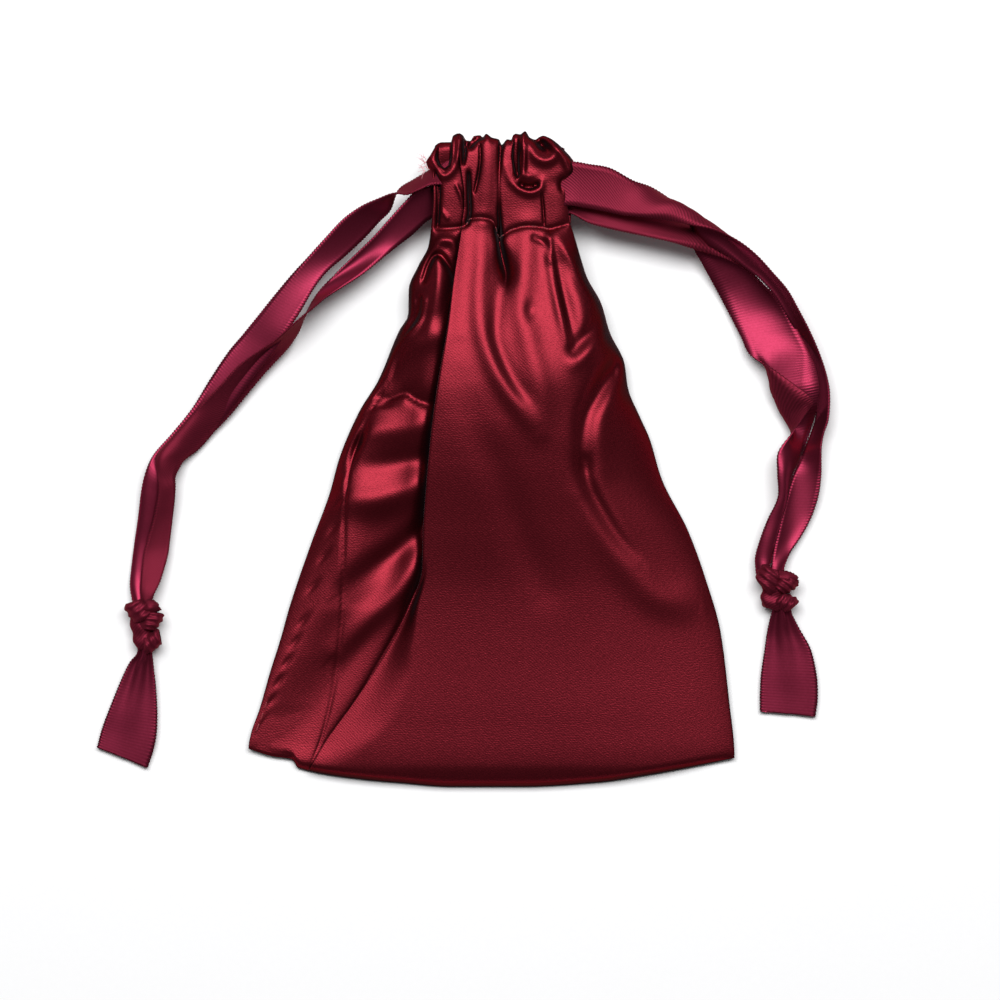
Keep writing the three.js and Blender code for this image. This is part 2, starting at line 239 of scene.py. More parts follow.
class Recipe:
    """A material's node tree, with short calls for the nodes that the finishes share."""

    def __init__(self, name: str) -> None:
        """Start a material with one shader.

        Args:
            name: The material's name.
        """
        self.material = bpy.data.materials.new(name)
        self.material.use_nodes = True
        self.tree = self.material.node_tree
        self.tree.nodes.clear()
        self.shader = self.tree.nodes.new("ShaderNodeBsdfPrincipled")
        output = self.tree.nodes.new("ShaderNodeOutputMaterial")
        self.join(self.shader.outputs["BSDF"], output.inputs["Surface"])

    def join(self, start: bpy.types.NodeSocket, end: bpy.types.NodeSocket) -> None:
        """Link two sockets."""
        self.tree.links.new(start, end)

    def add(
        self, kind: str, sockets: dict[str, Any] | None = None, **settings: Any
    ) -> bpy.types.Node:
        """Add a node.

        Args:
            kind: The node's type, without its ShaderNode prefix.
            sockets: A value or an output socket for each named input.
            **settings: The node's own properties.

        Returns:
            The node.
        """
        node = self.tree.nodes.new("ShaderNode" + kind)
        for name, value in settings.items():
            setattr(node, name, value)
        for name, value in (sockets or {}).items():
            self.feed(node.inputs[name], value)
        return node

    def feed(self, socket: bpy.types.NodeSocket, value: Any) -> None:
        """Link an output to a socket, or set the socket's own value."""
        if isinstance(value, bpy.types.NodeSocket):
            self.join(value, socket)
        else:
            socket.default_value = value

    def set_shader(self, **values: Any) -> None:
        """Feed the shader's inputs, named as they are but with _ for each space."""
        for name, value in values.items():
            self.feed(self.shader.inputs[name.replace("_", " ")], value)

    def calculate(self, operation: str, first: Any, second: Any = 0.0) -> bpy.types.NodeSocket:
        """Add a sum on numbers.

        Args:
            operation: The Math node's operation.
            first: A number or an output socket.
            second: A number or an output socket.

        Returns:
            The result's socket.
        """
        node = self.add("Math", operation=operation)
        self.feed(node.inputs[0], first)
        self.feed(node.inputs[1], second)
        return node.outputs[0]

    def blend(self, share: Any, first: Any, second: Any) -> bpy.types.NodeSocket:
        """Mix two colours.

        Args:
            share: How much of the second colour, a number or a socket.
            first: A colour or an output socket.
            second: A colour or an output socket.

        Returns:
            The mixed colour's socket.
        """
        node = self.add("Mix", data_type="RGBA")
        colour_inputs = [s for s in node.inputs if s.type == "RGBA"]
        self.feed(node.inputs[0], share)
        self.feed(colour_inputs[0], first)
        self.feed(colour_inputs[1], second)
        return next(s for s in node.outputs if s.type == "RGBA")

    def spread(self, value: Any, low: float, high: float) -> bpy.types.NodeSocket:
        """Carry a value from 0 to 1 over to low to high.

        Args:
            value: An output socket.
            low: The result at 0.
            high: The result at 1.

        Returns:
            The result's socket.
        """
        node = self.add("MapRange", {"Value": value, "To Min": low, "To Max": high})
        return node.outputs["Result"]

    def weave(self) -> bpy.types.NodeSocket:
        """Read the place on the flat cloth, in millimetres."""
        return self.add("UVMap", uv_map="weave").outputs["UV"]

    def bump(self, height: Any, depth: float, strength: float) -> None:
        """Raise the surface by a height.

        Args:
            height: The height's socket, from 0 to 1.
            depth: The height at 1, in metres.
            strength: How much of it shows.
        """
        sockets = {"Height": height, "Distance": depth, "Strength": strength}
        node = self.add("Bump", sockets)
        self.join(node.outputs["Normal"], self.shader.inputs["Normal"])


@dataclass(frozen=True)
class SatinCloth:
    """The pouch's satin: a fine twill of bright red yarn with a deep, coloured gloss, and painted
    shade on its steep flanks.
    """

    name: str = "red_satin_cloth"
    light: Colour = (0.190, 0.0152, 0.0245, 1)
    deep: Colour = (0.110, 0.0085, 0.0140, 1)
    # Painted shade: a near-black red that the cloth's colour turns to on steep flanks and sides
    painted_steep_shade: Colour = (0.022, 0.0030, 0.0045, 1)
    roughness: float = 0.42
    metallic: float = 0.97
    pitch_mm: float = 0.42

    def make(self) -> bpy.types.Material:
        """Make the material.

        Returns:
            The material.
        """
        recipe = Recipe(self.name)
        place = recipe.weave()
        twill = recipe.add(
            "TexWave",
            {"Vector": place, "Scale": 0.444 / self.pitch_mm, "Distortion": 0.7},
            bands_direction="DIAGONAL",
        ).outputs["Fac"]
        floats = recipe.add("Mapping", {"Vector": place, "Scale": (1.0, 3.4, 1.0)})
        yarn = recipe.add(
            "TexNoise", {"Vector": floats.outputs["Vector"], "Scale": 1.6, "Detail": 2.0}
        ).outputs["Fac"]
        cloud = recipe.add("TexNoise", {"Vector": place, "Scale": 0.06}).outputs["Fac"]
        grain = recipe.calculate("MULTIPLY", yarn, 0.8)
        shade = recipe.calculate("MULTIPLY_ADD", twill, 0.1)
        recipe.join(grain, shade.node.inputs[2])
        share = recipe.calculate("MULTIPLY_ADD", cloud, 0.3)
        recipe.join(shade, share.node.inputs[2])
        colour = recipe.blend(share, self.deep, self.light)
        # Painted shade: the base colour darkens toward the steep colour as the normal tilts from
        # upright (Z from 0.75 down to 0.3), so flanks and sides that face away read dark
        facing = recipe.add("NewGeometry").outputs["Normal"]
        level = recipe.add("SeparateXYZ", {"Vector": facing}).outputs["Z"]
        painted_steep_shade = recipe.add("MapRange", {"Value": level, "From Min": 0.75, "From Max": 0.3})
        colour = recipe.blend(painted_steep_shade.outputs["Result"], colour, self.painted_steep_shade)
        recipe.set_shader(
            Base_Color=colour,
            Roughness=recipe.spread(yarn, self.roughness - 0.07, self.roughness + 0.07),
            Metallic=self.metallic,
            Specular_IOR_Level=0.25,
            Specular_Tint=(0.32, 0.05, 0.07, 1),
            Sheen_Weight=0.07,
            Sheen_Roughness=0.35,
            Sheen_Tint=(1.0, 0.6, 0.7, 1),
        )
        lines = recipe.calculate("MULTIPLY", twill, 0.4)
        height = recipe.calculate("ADD", recipe.calculate("MULTIPLY", yarn, 2.4), lines)
        recipe.bump(height, 0.00004, 0.45)
        return recipe.material


@dataclass(frozen=True)
class RibbonSatin:
    """The ribbons' satin: glossy on its face, and matte with fine ribs on its reverse."""

    name: str = "crimson_satin_ribbon"
    light: Colour = (0.235, 0.022, 0.055, 1)
    deep: Colour = (0.165, 0.0135, 0.031, 1)
    reverse: Colour = (0.110, 0.0095, 0.020, 1)
    rib_mm: float = 0.55

    def make(self) -> bpy.types.Material:
        """Make the material.

        Returns:
            The material.
        """
        recipe = Recipe(self.name)
        place = recipe.weave()
        across = recipe.add("SeparateXYZ", {"Vector": place}).outputs["X"]
        back = recipe.calculate("GREATER_THAN", across, REVERSE_FROM / 2)
        turned = recipe.add("Mapping", {"Vector": place, "Scale": (-1.0, 1.0, 1.0)})
        turned = turned.outputs["Vector"]
        ribs = recipe.add(
            "TexWave",
            {"Vector": place, "Scale": 0.314 / self.rib_mm, "Distortion": 0.4},
            bands_direction="Y",
        ).outputs["Fac"]
        twill = recipe.add(
            "TexWave",
            {"Vector": turned, "Scale": 0.444 / 0.5, "Distortion": 0.3},
            bands_direction="DIAGONAL",
        ).outputs["Fac"]
        yarn = recipe.add("TexNoise", {"Vector": place, "Scale": 2.2}).outputs["Fac"]
        face = recipe.blend(recipe.calculate("MULTIPLY", yarn, 0.9), self.deep, self.light)
        matte = recipe.blend(twill, self.reverse, self.deep)
        recipe.set_shader(
            Base_Color=recipe.blend(back, face, matte),
            Roughness=recipe.spread(back, 0.42, 0.52),
            Metallic=recipe.spread(back, 0.92, 0.8),
            Specular_IOR_Level=0.3,
            Specular_Tint=(0.5, 0.1, 0.16, 1),
            Sheen_Weight=0.03,
            Sheen_Tint=(1.0, 0.4, 0.55, 1),
        )
        both = recipe.calculate("MULTIPLY", twill, back)
        height = recipe.calculate("ADD", recipe.calculate("MULTIPLY", ribs, 0.12), both)
        recipe.bump(height, 0.00005, 0.45)
        return recipe.material


@dataclass(frozen=True)
class ThreadFinish:
    """Spun thread: two plies that show as a fine slanted stripe."""

    name: str
    light: Colour
    deep: Colour
    roughness: float = 0.55

    def make(self) -> bpy.types.Material:
        """Make the material.

        Returns:
            The material.
        """
        recipe = Recipe(self.name)
        plies = recipe.add(
            "TexWave", {"Vector": recipe.weave(), "Scale": 1.4}, bands_direction="DIAGONAL"
        ).outputs["Fac"]
        colour = recipe.blend(plies, self.deep, self.light)
        recipe.set_shader(Base_Color=colour, Roughness=self.roughness, Sheen_Weight=0.2)
        recipe.bump(plies, 0.00003, 0.6)
        return recipe.material


@dataclass(frozen=True)
class PaperFloor:
    """A smooth white sheet under the pouch."""

    name: str = "white_paper"
    colour: Colour = (0.93, 0.93, 0.935, 1)

    def make(self) -> bpy.types.Material:
        """Make the material.

        Returns:
            The material.
        """
        recipe = Recipe(self.name)
        place = recipe.add("TexCoord").outputs["Object"]
        fibre = recipe.add("TexNoise", {"Vector": place, "Scale": 900.0}).outputs["Fac"]
        shade = recipe.blend(fibre, self.colour, (0.91, 0.91, 0.92, 1))
        recipe.set_shader(Base_Color=shade, Roughness=0.85, Specular_IOR_Level=0.1)
        return recipe.material


# ------------------------------------------------------------------------ studio


@dataclass
class Studio:
    """The camera over the pouch, the paper that it lies on, and the soft light."""

    centre_mm: Point2 = (1.67, -7.04)
    view_width_mm: float = 185.2
    level_mm: float = 3.0
    lens_mm: float = 150.0
    sensor_mm: float = 36.0
    floor_half: float = 1.6
    key_power: float = 18.0
    key_place: Point3 = (0.0, 0.48, 1.03)
    key_size: Point2 = (1.2, 0.5)
    world_strength: float = 0.12

    def camera(self) -> bpy.types.Object:
        """Hang the camera straight above the pouch.

        Returns:
            The camera.
        """
        data = bpy.data.cameras.new("overhead_camera")
        data.lens = self.lens_mm
        data.sensor_width = self.sensor_mm
        data.clip_start = 0.02
        data.clip_end = 20
        camera = bpy.data.objects.new("overhead_camera", data)
        reach = self.view_width_mm * self.lens_mm / self.sensor_mm
        height = reach + self.level_mm
        camera.location = Vector((*self.centre_mm, height)) * MM
        bpy.context.scene.collection.objects.link(camera)
        bpy.context.scene.camera = camera
        return camera

    def floor(self) -> bpy.types.Object:
        """Lay the paper, at Z = 0.

        Returns:
            The floor.
        """
        builder = MeshBuilder()
        side = np.linspace(-self.floor_half, self.floor_half, 9) / MM
        x, y = np.meshgrid(side, side)
        builder.grid(np.stack([x, y, 0 * x], -1), np.stack([x, y], -1))
        paper = builder.make("paper_floor")
        paper.data.materials.append(PaperFloor().make())
        return paper

    def light(self, name: str, place: Point3, size: Point2, power: float) -> bpy.types.Object:
        """Hang a soft rectangular light that faces the pouch.

        Args:
            name: The light's name.
            place: Its middle, in metres.
            size: Its width and height, in metres.
            power: Its power, in watts.

        Returns:
            The light.
        """
        data = bpy.data.lights.new(name, "AREA")
        data.shape = "RECTANGLE"
        data.size, data.size_y = size
        data.energy = power
        lamp = bpy.data.objects.new(name, data)
        lamp.location = place
        lamp.rotation_euler = Vector(place).to_track_quat("Z", "Y").to_euler()
        bpy.context.scene.collection.objects.link(lamp)
        return lamp

    def build(self) -> None:
        """Set up the camera, the floor and the light."""
        self.camera()
        self.floor()
        self.light("key_softbox", self.key_place, self.key_size, self.key_power)
        world = bpy.data.worlds.new("white_room")
        world.use_nodes = True
        background = world.node_tree.nodes["Background"]
        background.inputs["Color"].default_value = (1.0, 1.0, 1.0, 1)
        background.inputs["Strength"].default_value = self.world_strength
        bpy.context.scene.world = world
        bpy.context.scene.view_settings.view_transform = "Standard"


# ------------------------------------------------------------------------ ribbons

RIBBON_WIDTH = 10.0
RIBBON_THICKNESS = 0.2
SELVEDGE_PITCH = 0.55
SELVEDGE_BEAD = 0.14
SELVEDGE_THICKNESS = 0.36
REVERSE_FROM = 30.0  # the reverse of a ribbon starts here on its flat map
KNOT_REST = 0.25  # a knot's lowest points are pressed up to this height


@dataclass
class RibbonStrip:
    """A length of ribbon, swept between its two woven edges.

    Each station gives one edge, the middle and the other edge, as x, y and z.
    """

    name: str
    stations: Sequence[Station]
    satin_first: bool = True
    pleat_height: float = 0.0
    pleat_count: float = 2.5
    columns: int = 9
    fray: float = 0.0

    def spine(self) -> tuple[np.ndarray, np.ndarray]:
        """Space places evenly along the middle line.

        Returns:
            The places, counted in stations, and the middle line's length up to each.
        """
        middle = np.array([s[1] for s in self.stations], float)
        fine = np.linspace(0, len(middle) - 1, 24 * len(middle))
        steps = np.linalg.norm(np.diff(catmull(middle, fine), axis=0), axis=1)
        run = np.concatenate([[0], np.cumsum(steps)])
        count = int(run[-1] / (SELVEDGE_PITCH / 3)) + 2
        lengths = np.linspace(0, run[-1], count)
        return np.interp(lengths, run, fine), lengths

    def path(self) -> list[list[float]]:
        """Give the middle line as points in metres."""
        sheet = self.surface(self.spine()[0][::8])
        return (sheet.mean(axis=1) * MM).tolist()

    def surface(self, at: np.ndarray) -> np.ndarray:
        """Make the ribbon's middle surface.

        Args:
            at: Places along the ribbon, counted in stations.

        Returns:
            Places by columns by three.
        """
        edges = [catmull(np.array([s[i] for s in self.stations], float), at) for i in range(3)]
        t = np.linspace(0, 1, self.columns)[None, :, None]
        first, middle, last = (edge[:, None, :] for edge in edges)
        sheet = (
            first * (1 - 2 * t) * (1 - t) + middle * 4 * t * (1 - t) + last * t * (2 * t - 1)
        )
        share = np.linspace(1, 0, len(at))[:, None] ** 1.5
        wave = np.cos(TAU * self.pleat_count * (t[0, :, 0] - 0.5))[None, :]
        sheet[:, :, 2] += self.pleat_height * share * wave
        return sheet

    def build(self, finish: bpy.types.Material) -> bpy.types.Object:
        """Make the strip.

        Args:
            finish: The ribbon's material.

        Returns:
            The strip's object.
        """
        at, lengths = self.spine()
        sheet = self.surface(at)
        along = np.gradient(sheet, axis=0)
        across = np.gradient(sheet, axis=1)
        normal = np.cross(across, along)
        normal /= np.linalg.norm(normal, axis=2, keepdims=True) + 1e-9
        outward = across / (np.linalg.norm(across, axis=2, keepdims=True) + 1e-9)
        bead = 0.5 - 0.5 * np.cos(TAU * lengths / SELVEDGE_PITCH)
        thick = np.full((len(at), self.columns), RIBBON_THICKNESS / 2)
        extra = SELVEDGE_THICKNESS / 2 - RIBBON_THICKNESS / 2
        for column, sign in ((0, -1), (self.columns - 1, 1)):
            sheet[:, column] += sign * outward[:, column] * (SELVEDGE_BEAD * bead)[:, None]
            thick[:, column] = RIBBON_THICKNESS / 2 + extra * bead
        if self.fray:
            rng = np.random.default_rng(7)
            ragged = rng.uniform(-self.fray, self.fray, self.columns)
            direction = along[-1] / np.linalg.norm(along[-1], axis=1, keepdims=True)
            for back, share in enumerate((1.0, 0.6, 0.3)):
                sheet[-1 - back] += direction * (ragged * share)[:, None]
        top = sheet + normal * thick[:, :, None]
        under = sheet - normal * thick[:, :, None]
        u = np.broadcast_to(np.linspace(0, RIBBON_WIDTH, self.columns), thick.shape)
        v = np.broadcast_to(lengths[:, None], thick.shape)
        sides = (0.0, REVERSE_FROM) if self.satin_first else (REVERSE_FROM, 0.0)
        rings = np.concatenate([top, under[:, ::-1]], axis=1)
        flat = [np.stack([u + side, v], -1) for side in sides]
        weave = np.concatenate([flat[0], flat[1][:, ::-1]], axis=1)
        builder = MeshBuilder()
        builder.tube(rings, weave)
        piece = builder.make(self.name)
        piece.data.materials.append(finish)
        return piece


@dataclass(frozen=True)
class Wrap:
    """One turn of crumpled ribbon round a knot."""

    centre: Point3
    axis_degrees: float  # the way that the turn's axis points, from +X
    half_width: float
    half_height: float
    band: float
    skew: float = 0.0
    creases: int = 3
    phase: float = 0.0

    def rings(self) -> tuple[np.ndarray, np.ndarray]:
        """Make the turn's points and its map.

        Returns:
            The grid of points, closed round the turn, and the places on the flat ribbon.
        """
        turn = np.linspace(0, TAU, 49)[:-1][None, :]
        side = np.linspace(-1, 1, 25)[:, None]
        angle = math.radians(self.axis_degrees)
        axis = np.array([math.cos(angle), math.sin(angle), 0.0])
        level = np.array([-math.sin(angle), math.cos(angle), 0.0])
        folds = 0.075 * np.sin(self.creases * math.pi * side + 1.7 * np.sin(turn + self.phase))
        crumple = 0.035 * np.sin(5 * turn + 3 * side + self.phase)
        swell = (1 - side**4) ** 0.5 * 0.32 + 0.68 + folds + crumple
        along = 0.5 * self.band * side + self.skew * np.cos(turn)
        points = (
            np.array(self.centre)
            + axis * along[..., None]
            + level * (self.half_width * np.cos(turn) * swell)[..., None]
            + np.array([0, 0, 1.0]) * (self.half_height * np.sin(turn) * swell)[..., None]
        )
        flat_u = np.broadcast_to((side + 1) * RIBBON_WIDTH / 2, swell.shape)
        flat_v = np.broadcast_to(turn * self.half_width, swell.shape)
        return points, np.stack([flat_u + REVERSE_FROM, flat_v], -1)


@dataclass
class RibbonEnd:
    """The knot that ties a ribbon's two ends, and the two short tails below it."""

    side: str
    wraps: Sequence[Wrap]
    flap: Sequence[Station]
    tail_top: Sequence[Station]
    tail_under: Sequence[Station]

    def knot(self, finish: bpy.types.Material) -> bpy.types.Object:
        """Make the knot from its turns.

        Args:
            finish: The ribbon's material.

        Returns:
            The knot's object.
        """
        builder = MeshBuilder()
        for wrap in self.wraps:
            points, weave = wrap.rings()
            points[..., 2] = np.maximum(points[..., 2], KNOT_REST)
            builder.grid(points, weave, closed=True)
        knot = builder.make(f"{self.side}_knot")
        knot.data.materials.append(finish)
        return knot

    def build(self, finish: bpy.types.Material) -> list[bpy.types.Object]:
        """Make the knot, its frayed corner and its tails.

        Args:
            finish: The ribbon's material.

        Returns:
            The pieces.
        """
        strips = (
            RibbonStrip(f"{self.side}_knot_corner", self.flap, False, 0.25, 1.5, 9, 0.5),
            RibbonStrip(f"{self.side}_tail_upper", self.tail_top, False, 0.38, 2.0, 17, 0.12),
            RibbonStrip(f"{self.side}_tail_under", self.tail_under, True, 0.2, 2.0, 17, 0.12),
        )
        return [self.knot(finish), *(strip.build(finish) for strip in strips)]


@dataclass
class DrawRibbon:
    """One draw ribbon: two free strands, its run inside the casing, and its knotted ends."""

    side: str
    front: RibbonStrip
    back: RibbonStrip
    hidden: RibbonStrip
    end: RibbonEnd
    front_length: float
    back_length: float
    exits: tuple[Point3, Point3]

    def build(self, finish: bpy.types.Material) -> list[bpy.types.Object]:
        """Args:
            finish: The ribbon's material.

        Returns:
            The pieces.
        """
        pieces = [self.front.build(finish), self.back.build(finish)]
        ends = self.end.build(finish)
        hidden = self.hidden.build(finish)
        for piece in [*pieces, *ends, hidden]:
            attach(piece, BODY)
            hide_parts(f"{self.side}_ribbon")
        for strip, piece, length, leaves, tied in zip(
            (self.front, self.back),
            pieces,
            (self.front_length, self.back_length),
            self.exits,
            (ends, []),
        ):
            strip.path()
        return [*pieces, *ends, hidden]


LEFT_FRONT = RibbonStrip(
    "left_strand_front",
    (
        ((-5.4, 56.7, 7.4), (-5.4, 54.3, 7.0), (-5.4, 51.9, 7.4)),
        ((-8.3, 55.2, 7.6), (-8.1, 53.3, 7.8), (-8.0, 51.1, 8.4)),
        ((-11.3, 53.7, 6.6), (-11.1, 52.4, 8.2), (-10.9, 50.9, 9.4)),
        ((-14.4, 51.9, 6.2), (-13.9, 50.9, 8.0), (-13.1, 50.0, 9.4)),
        ((-16.5, 50.7, 5.6), (-16.1, 49.8, 7.4), (-15.4, 49.1, 9.4)),
        ((-17.6, 49.3, 5.0), (-17.8, 49.1, 7.0), (-17.8, 49.3, 9.2)),
        ((-18.7, 46.5, 4.6), (-19.6, 47.2, 6.4), (-20.7, 48.3, 8.6)),
        ((-20.7, 44.4, 4.7), (-22.4, 45.6, 6.2), (-23.9, 46.9, 8.0)),
        ((-23.3, 41.5, 4.9), (-25.6, 42.8, 6.1), (-27.2, 44.6, 7.6)),
        ((-27.0, 38.0, 5.2), (-29.1, 39.3, 5.9), (-30.6, 41.1, 6.8)),
        ((-30.2, 35.2, 5.6), (-32.2, 36.3, 5.7), (-33.7, 37.8, 6.0)),
        ((-32.6, 32.2, 5.9), (-34.8, 33.1, 5.5), (-36.7, 34.6, 5.2)),
        ((-35.0, 28.1, 6.1), (-37.8, 29.3, 5.2), (-40.0, 30.7, 4.4)),
        ((-37.6, 24.1, 5.9), (-40.6, 25.4, 4.9), (-43.0, 27.0, 3.8)),
        ((-40.2, 20.4, 5.0), (-43.5, 21.9, 4.1), (-45.9, 23.5, 3.2)),
        ((-43.1, 16.9, 4.0), (-46.5, 18.3, 3.4), (-48.7, 20.2, 2.9)),
        ((-46.9, 11.9, 2.8), (-49.8, 13.1, 2.7), (-52.2, 15.0, 2.6)),
        ((-50.4, 7.0, 1.5), (-53.1, 8.1, 1.9), (-55.4, 9.8, 2.6)),
        ((-54.3, 2.4, 0.9), (-56.7, 3.9, 1.5), (-59.1, 5.2, 2.5)),
        ((-58.0, -0.2, 1.4), (-60.4, 0.6, 2.0), (-62.2, 1.7, 2.6)),
        ((-59.8, -3.3, 2.4), (-62.0, -2.2, 2.9), (-63.5, -0.7, 2.8)),
        ((-60.7, -6.1, 2.1), (-63.0, -5.4, 2.7), (-64.6, -4.6, 2.3)),
        ((-61.7, -10.7, 1.4), (-63.7, -10.6, 2.0), (-65.4, -10.4, 1.4)),
        ((-62.6, -15.4, 0.8), (-64.4, -15.2, 1.4), (-66.1, -15.0, 0.9)),
        ((-63.5, -20.0, 0.7), (-65.2, -20.0, 1.4), (-66.7, -19.8, 0.9)),
        ((-64.1, -23.3, 1.1), (-65.4, -23.3, 1.9), (-66.9, -23.1, 1.3)),
        ((-64.1, -26.1, 1.8), (-65.2, -26.3, 2.7), (-66.3, -26.3, 1.8)),
    ),
)
LEFT_BACK = RibbonStrip(
    "left_strand_back",
    (
        ((-5.4, 56.7, 4.8), (-5.4, 54.3, 4.4), (-5.4, 51.9, 4.8)),
        ((-8.1, 53.0, 6.0), (-8.0, 50.7, 5.2), (-7.8, 48.1, 4.8)),
        ((-10.9, 50.9, 6.8), (-10.7, 48.3, 5.6), (-10.6, 45.4, 4.5)),
        ((-13.3, 50.4, 6.8), (-12.8, 47.4, 5.6), (-12.2, 44.3, 4.5)),
        ((-15.9, 47.8, 6.5), (-15.4, 45.4, 5.4), (-14.6, 42.0, 4.5)),
        ((-18.5, 45.0, 6.0), (-17.8, 42.8, 5.1), (-17.4, 39.8, 4.7)),
        ((-21.5, 41.7, 5.3), (-20.9, 39.8, 4.6), (-20.6, 37.2, 5.2)),
        ((-24.8, 38.5, 4.6), (-24.3, 36.9, 4.2), (-23.9, 34.6, 5.6)),
        ((-28.3, 35.2, 4.0), (-28.0, 33.9, 4.2), (-27.6, 32.2, 6.0)),
        ((-31.5, 31.9, 3.3), (-30.9, 31.1, 4.5), (-30.6, 30.2, 6.6)),
        ((-33.3, 29.3, 2.6), (-33.0, 28.9, 4.7), (-32.8, 28.3, 7.2)),
        ((-34.8, 26.3, 2.3), (-34.8, 26.3, 4.8), (-34.8, 26.7, 7.4)),
        ((-35.6, 24.3, 2.4), (-36.3, 24.8, 5.0), (-37.2, 24.6, 7.5)),
        ((-37.4, 21.5, 2.4), (-38.5, 22.2, 4.7), (-39.8, 22.4, 7.0)),
        ((-39.4, 19.3, 2.2), (-41.3, 20.2, 4.2), (-43.1, 20.2, 6.3)),
        ((-42.2, 16.3, 2.0), (-44.4, 17.4, 3.8), (-46.7, 17.6, 5.5)),
        ((-45.6, 12.2, 1.7), (-48.0, 13.7, 3.3), (-50.0, 14.1, 4.8)),
        ((-48.5, 8.7, 1.5), (-51.3, 10.4, 3.2), (-53.0, 11.1, 4.2)),
        ((-51.7, 5.4, 1.3), (-54.6, 7.0, 3.4), (-56.1, 7.8, 3.4)),
        ((-54.3, 2.6, 1.4), (-57.6, 3.7, 3.6), (-59.1, 4.4, 3.2)),
        ((-56.9, 0.4, 2.0), (-59.8, 1.3, 4.2), (-61.3, 1.9, 3.4)),
        ((-57.8, -1.1, 2.6), (-60.6, -0.4, 4.2), (-61.9, 0.0, 3.6)),
        ((-58.5, -2.8, 3.0), (-60.6, -2.8, 3.8), (-61.7, -2.2, 3.8)),
        ((-58.5, -4.6, 2.9), (-60.2, -5.0, 3.5), (-61.5, -5.0, 3.6)),
        ((-58.7, -7.6, 2.6), (-60.4, -7.8, 2.9), (-61.9, -8.0, 3.2)),
        ((-59.1, -10.7, 2.2), (-60.9, -10.9, 2.3), (-62.6, -11.1, 2.7)),
        ((-59.6, -14.6, 1.9), (-61.7, -14.6, 1.9), (-63.7, -14.6, 2.3)),
        ((-60.0, -17.4, 2.0), (-62.4, -17.4, 1.9), (-64.4, -17.4, 2.2)),
        ((-61.3, -22.0, 2.6), (-63.3, -21.9, 2.5), (-64.8, -21.7, 2.4)),
        ((-62.4, -24.4, 3.0), (-63.7, -24.4, 3.1), (-64.8, -24.3, 2.6)),
        ((-63.1, -26.3, 2.6), (-63.9, -26.5, 3.3), (-64.6, -26.5, 2.6)),
    ),
    satin_first=False,
)
RIGHT_FRONT = RibbonStrip(
    "right_strand_front",
    (
        ((5.4, 50.4, 7.4), (5.4, 47.8, 7.0), (5.4, 45.2, 7.4)),
        ((10.0, 53.3, 8.0), (10.0, 50.0, 7.8), (10.0, 46.9, 8.0)),
        ((14.3, 55.0, 9.0), (14.3, 51.1, 8.6), (14.1, 47.2, 8.8)),
        ((18.3, 54.6, 9.0), (18.0, 50.6, 8.6), (17.6, 46.7, 8.6)),
        ((22.0, 53.9, 8.8), (21.5, 49.8, 8.6), (20.9, 46.1, 8.6)),
        ((26.1, 51.7, 8.2), (25.2, 48.5, 8.6), (24.3, 45.4, 8.8)),
        ((29.8, 50.4, 6.6), (29.1, 47.8, 8.8), (28.0, 45.0, 9.2)),
        ((34.3, 47.4, 5.4), (33.5, 47.8, 8.6), (31.5, 44.6, 9.4)),
        ((36.5, 44.1, 5.0), (36.9, 46.5, 7.8), (34.3, 44.1, 9.4)),
        ((38.0, 41.5, 5.0), (39.4, 44.8, 7.2), (36.9, 43.5, 9.4)),
        ((39.8, 40.2, 5.0), (41.5, 43.3, 6.6), (39.8, 43.0, 9.2)),
        ((41.7, 39.3, 5.0), (43.5, 41.5, 6.2), (42.8, 42.0, 8.6)),
        ((44.1, 38.0, 5.0), (45.6, 39.3, 5.8), (46.1, 40.2, 8.0)),
        ((46.7, 36.1, 4.9), (47.8, 37.2, 5.6), (49.1, 37.8, 7.4)),
        ((49.6, 33.9, 4.7), (50.6, 34.8, 5.2), (51.9, 34.8, 6.8)),
        ((52.4, 30.9, 4.3), (53.3, 31.7, 4.8), (54.6, 31.7, 6.4)),
        ((54.6, 27.4, 3.6), (55.6, 28.1, 4.2), (56.7, 28.1, 5.8)),
        ((56.9, 23.9, 2.4), (57.6, 24.4, 3.4), (58.7, 24.4, 5.2)),
        ((58.5, 20.0, 1.6), (59.3, 20.4, 2.4), (60.6, 20.2, 4.4)),
        ((59.4, 15.9, 1.0), (60.6, 16.3, 1.8), (62.0, 16.1, 3.8)),
        ((60.2, 12.6, 0.8), (61.1, 12.8, 1.8), (62.6, 12.6, 3.8)),
        ((60.4, 8.5, 1.0), (61.3, 8.5, 2.2), (62.4, 8.1, 3.8)),
        ((59.4, 5.2, 1.2), (60.6, 5.2, 2.2), (61.5, 5.2, 3.6)),
        ((58.3, 2.6, 1.2), (60.0, 2.6, 2.6), (61.1, 2.8, 3.6)),
        ((57.2, 0.0, 1.0), (59.4, -0.2, 1.8), (61.1, -0.2, 3.0)),
        ((56.1, -2.6, 1.4), (58.5, -2.8, 1.4), (61.1, -2.8, 2.4)),
        ((54.8, -6.3, 1.8), (57.6, -6.5, 1.2), (60.6, -6.5, 2.0)),
        ((53.7, -10.2, 2.2), (56.7, -10.4, 1.2), (59.3, -10.4, 1.6)),
        ((53.0, -13.9, 2.6), (55.4, -13.9, 1.5), (57.4, -13.9, 1.6)),
        ((52.4, -16.9, 2.8), (54.1, -16.9, 2.2), (55.4, -16.9, 1.8)),
        ((52.0, -19.3, 3.0), (53.1, -19.4, 3.0), (54.3, -19.4, 2.2)),
        ((51.7, -21.3, 2.8), (52.8, -21.5, 3.2), (53.9, -21.5, 2.4)),
    ),
    satin_first=False,
)
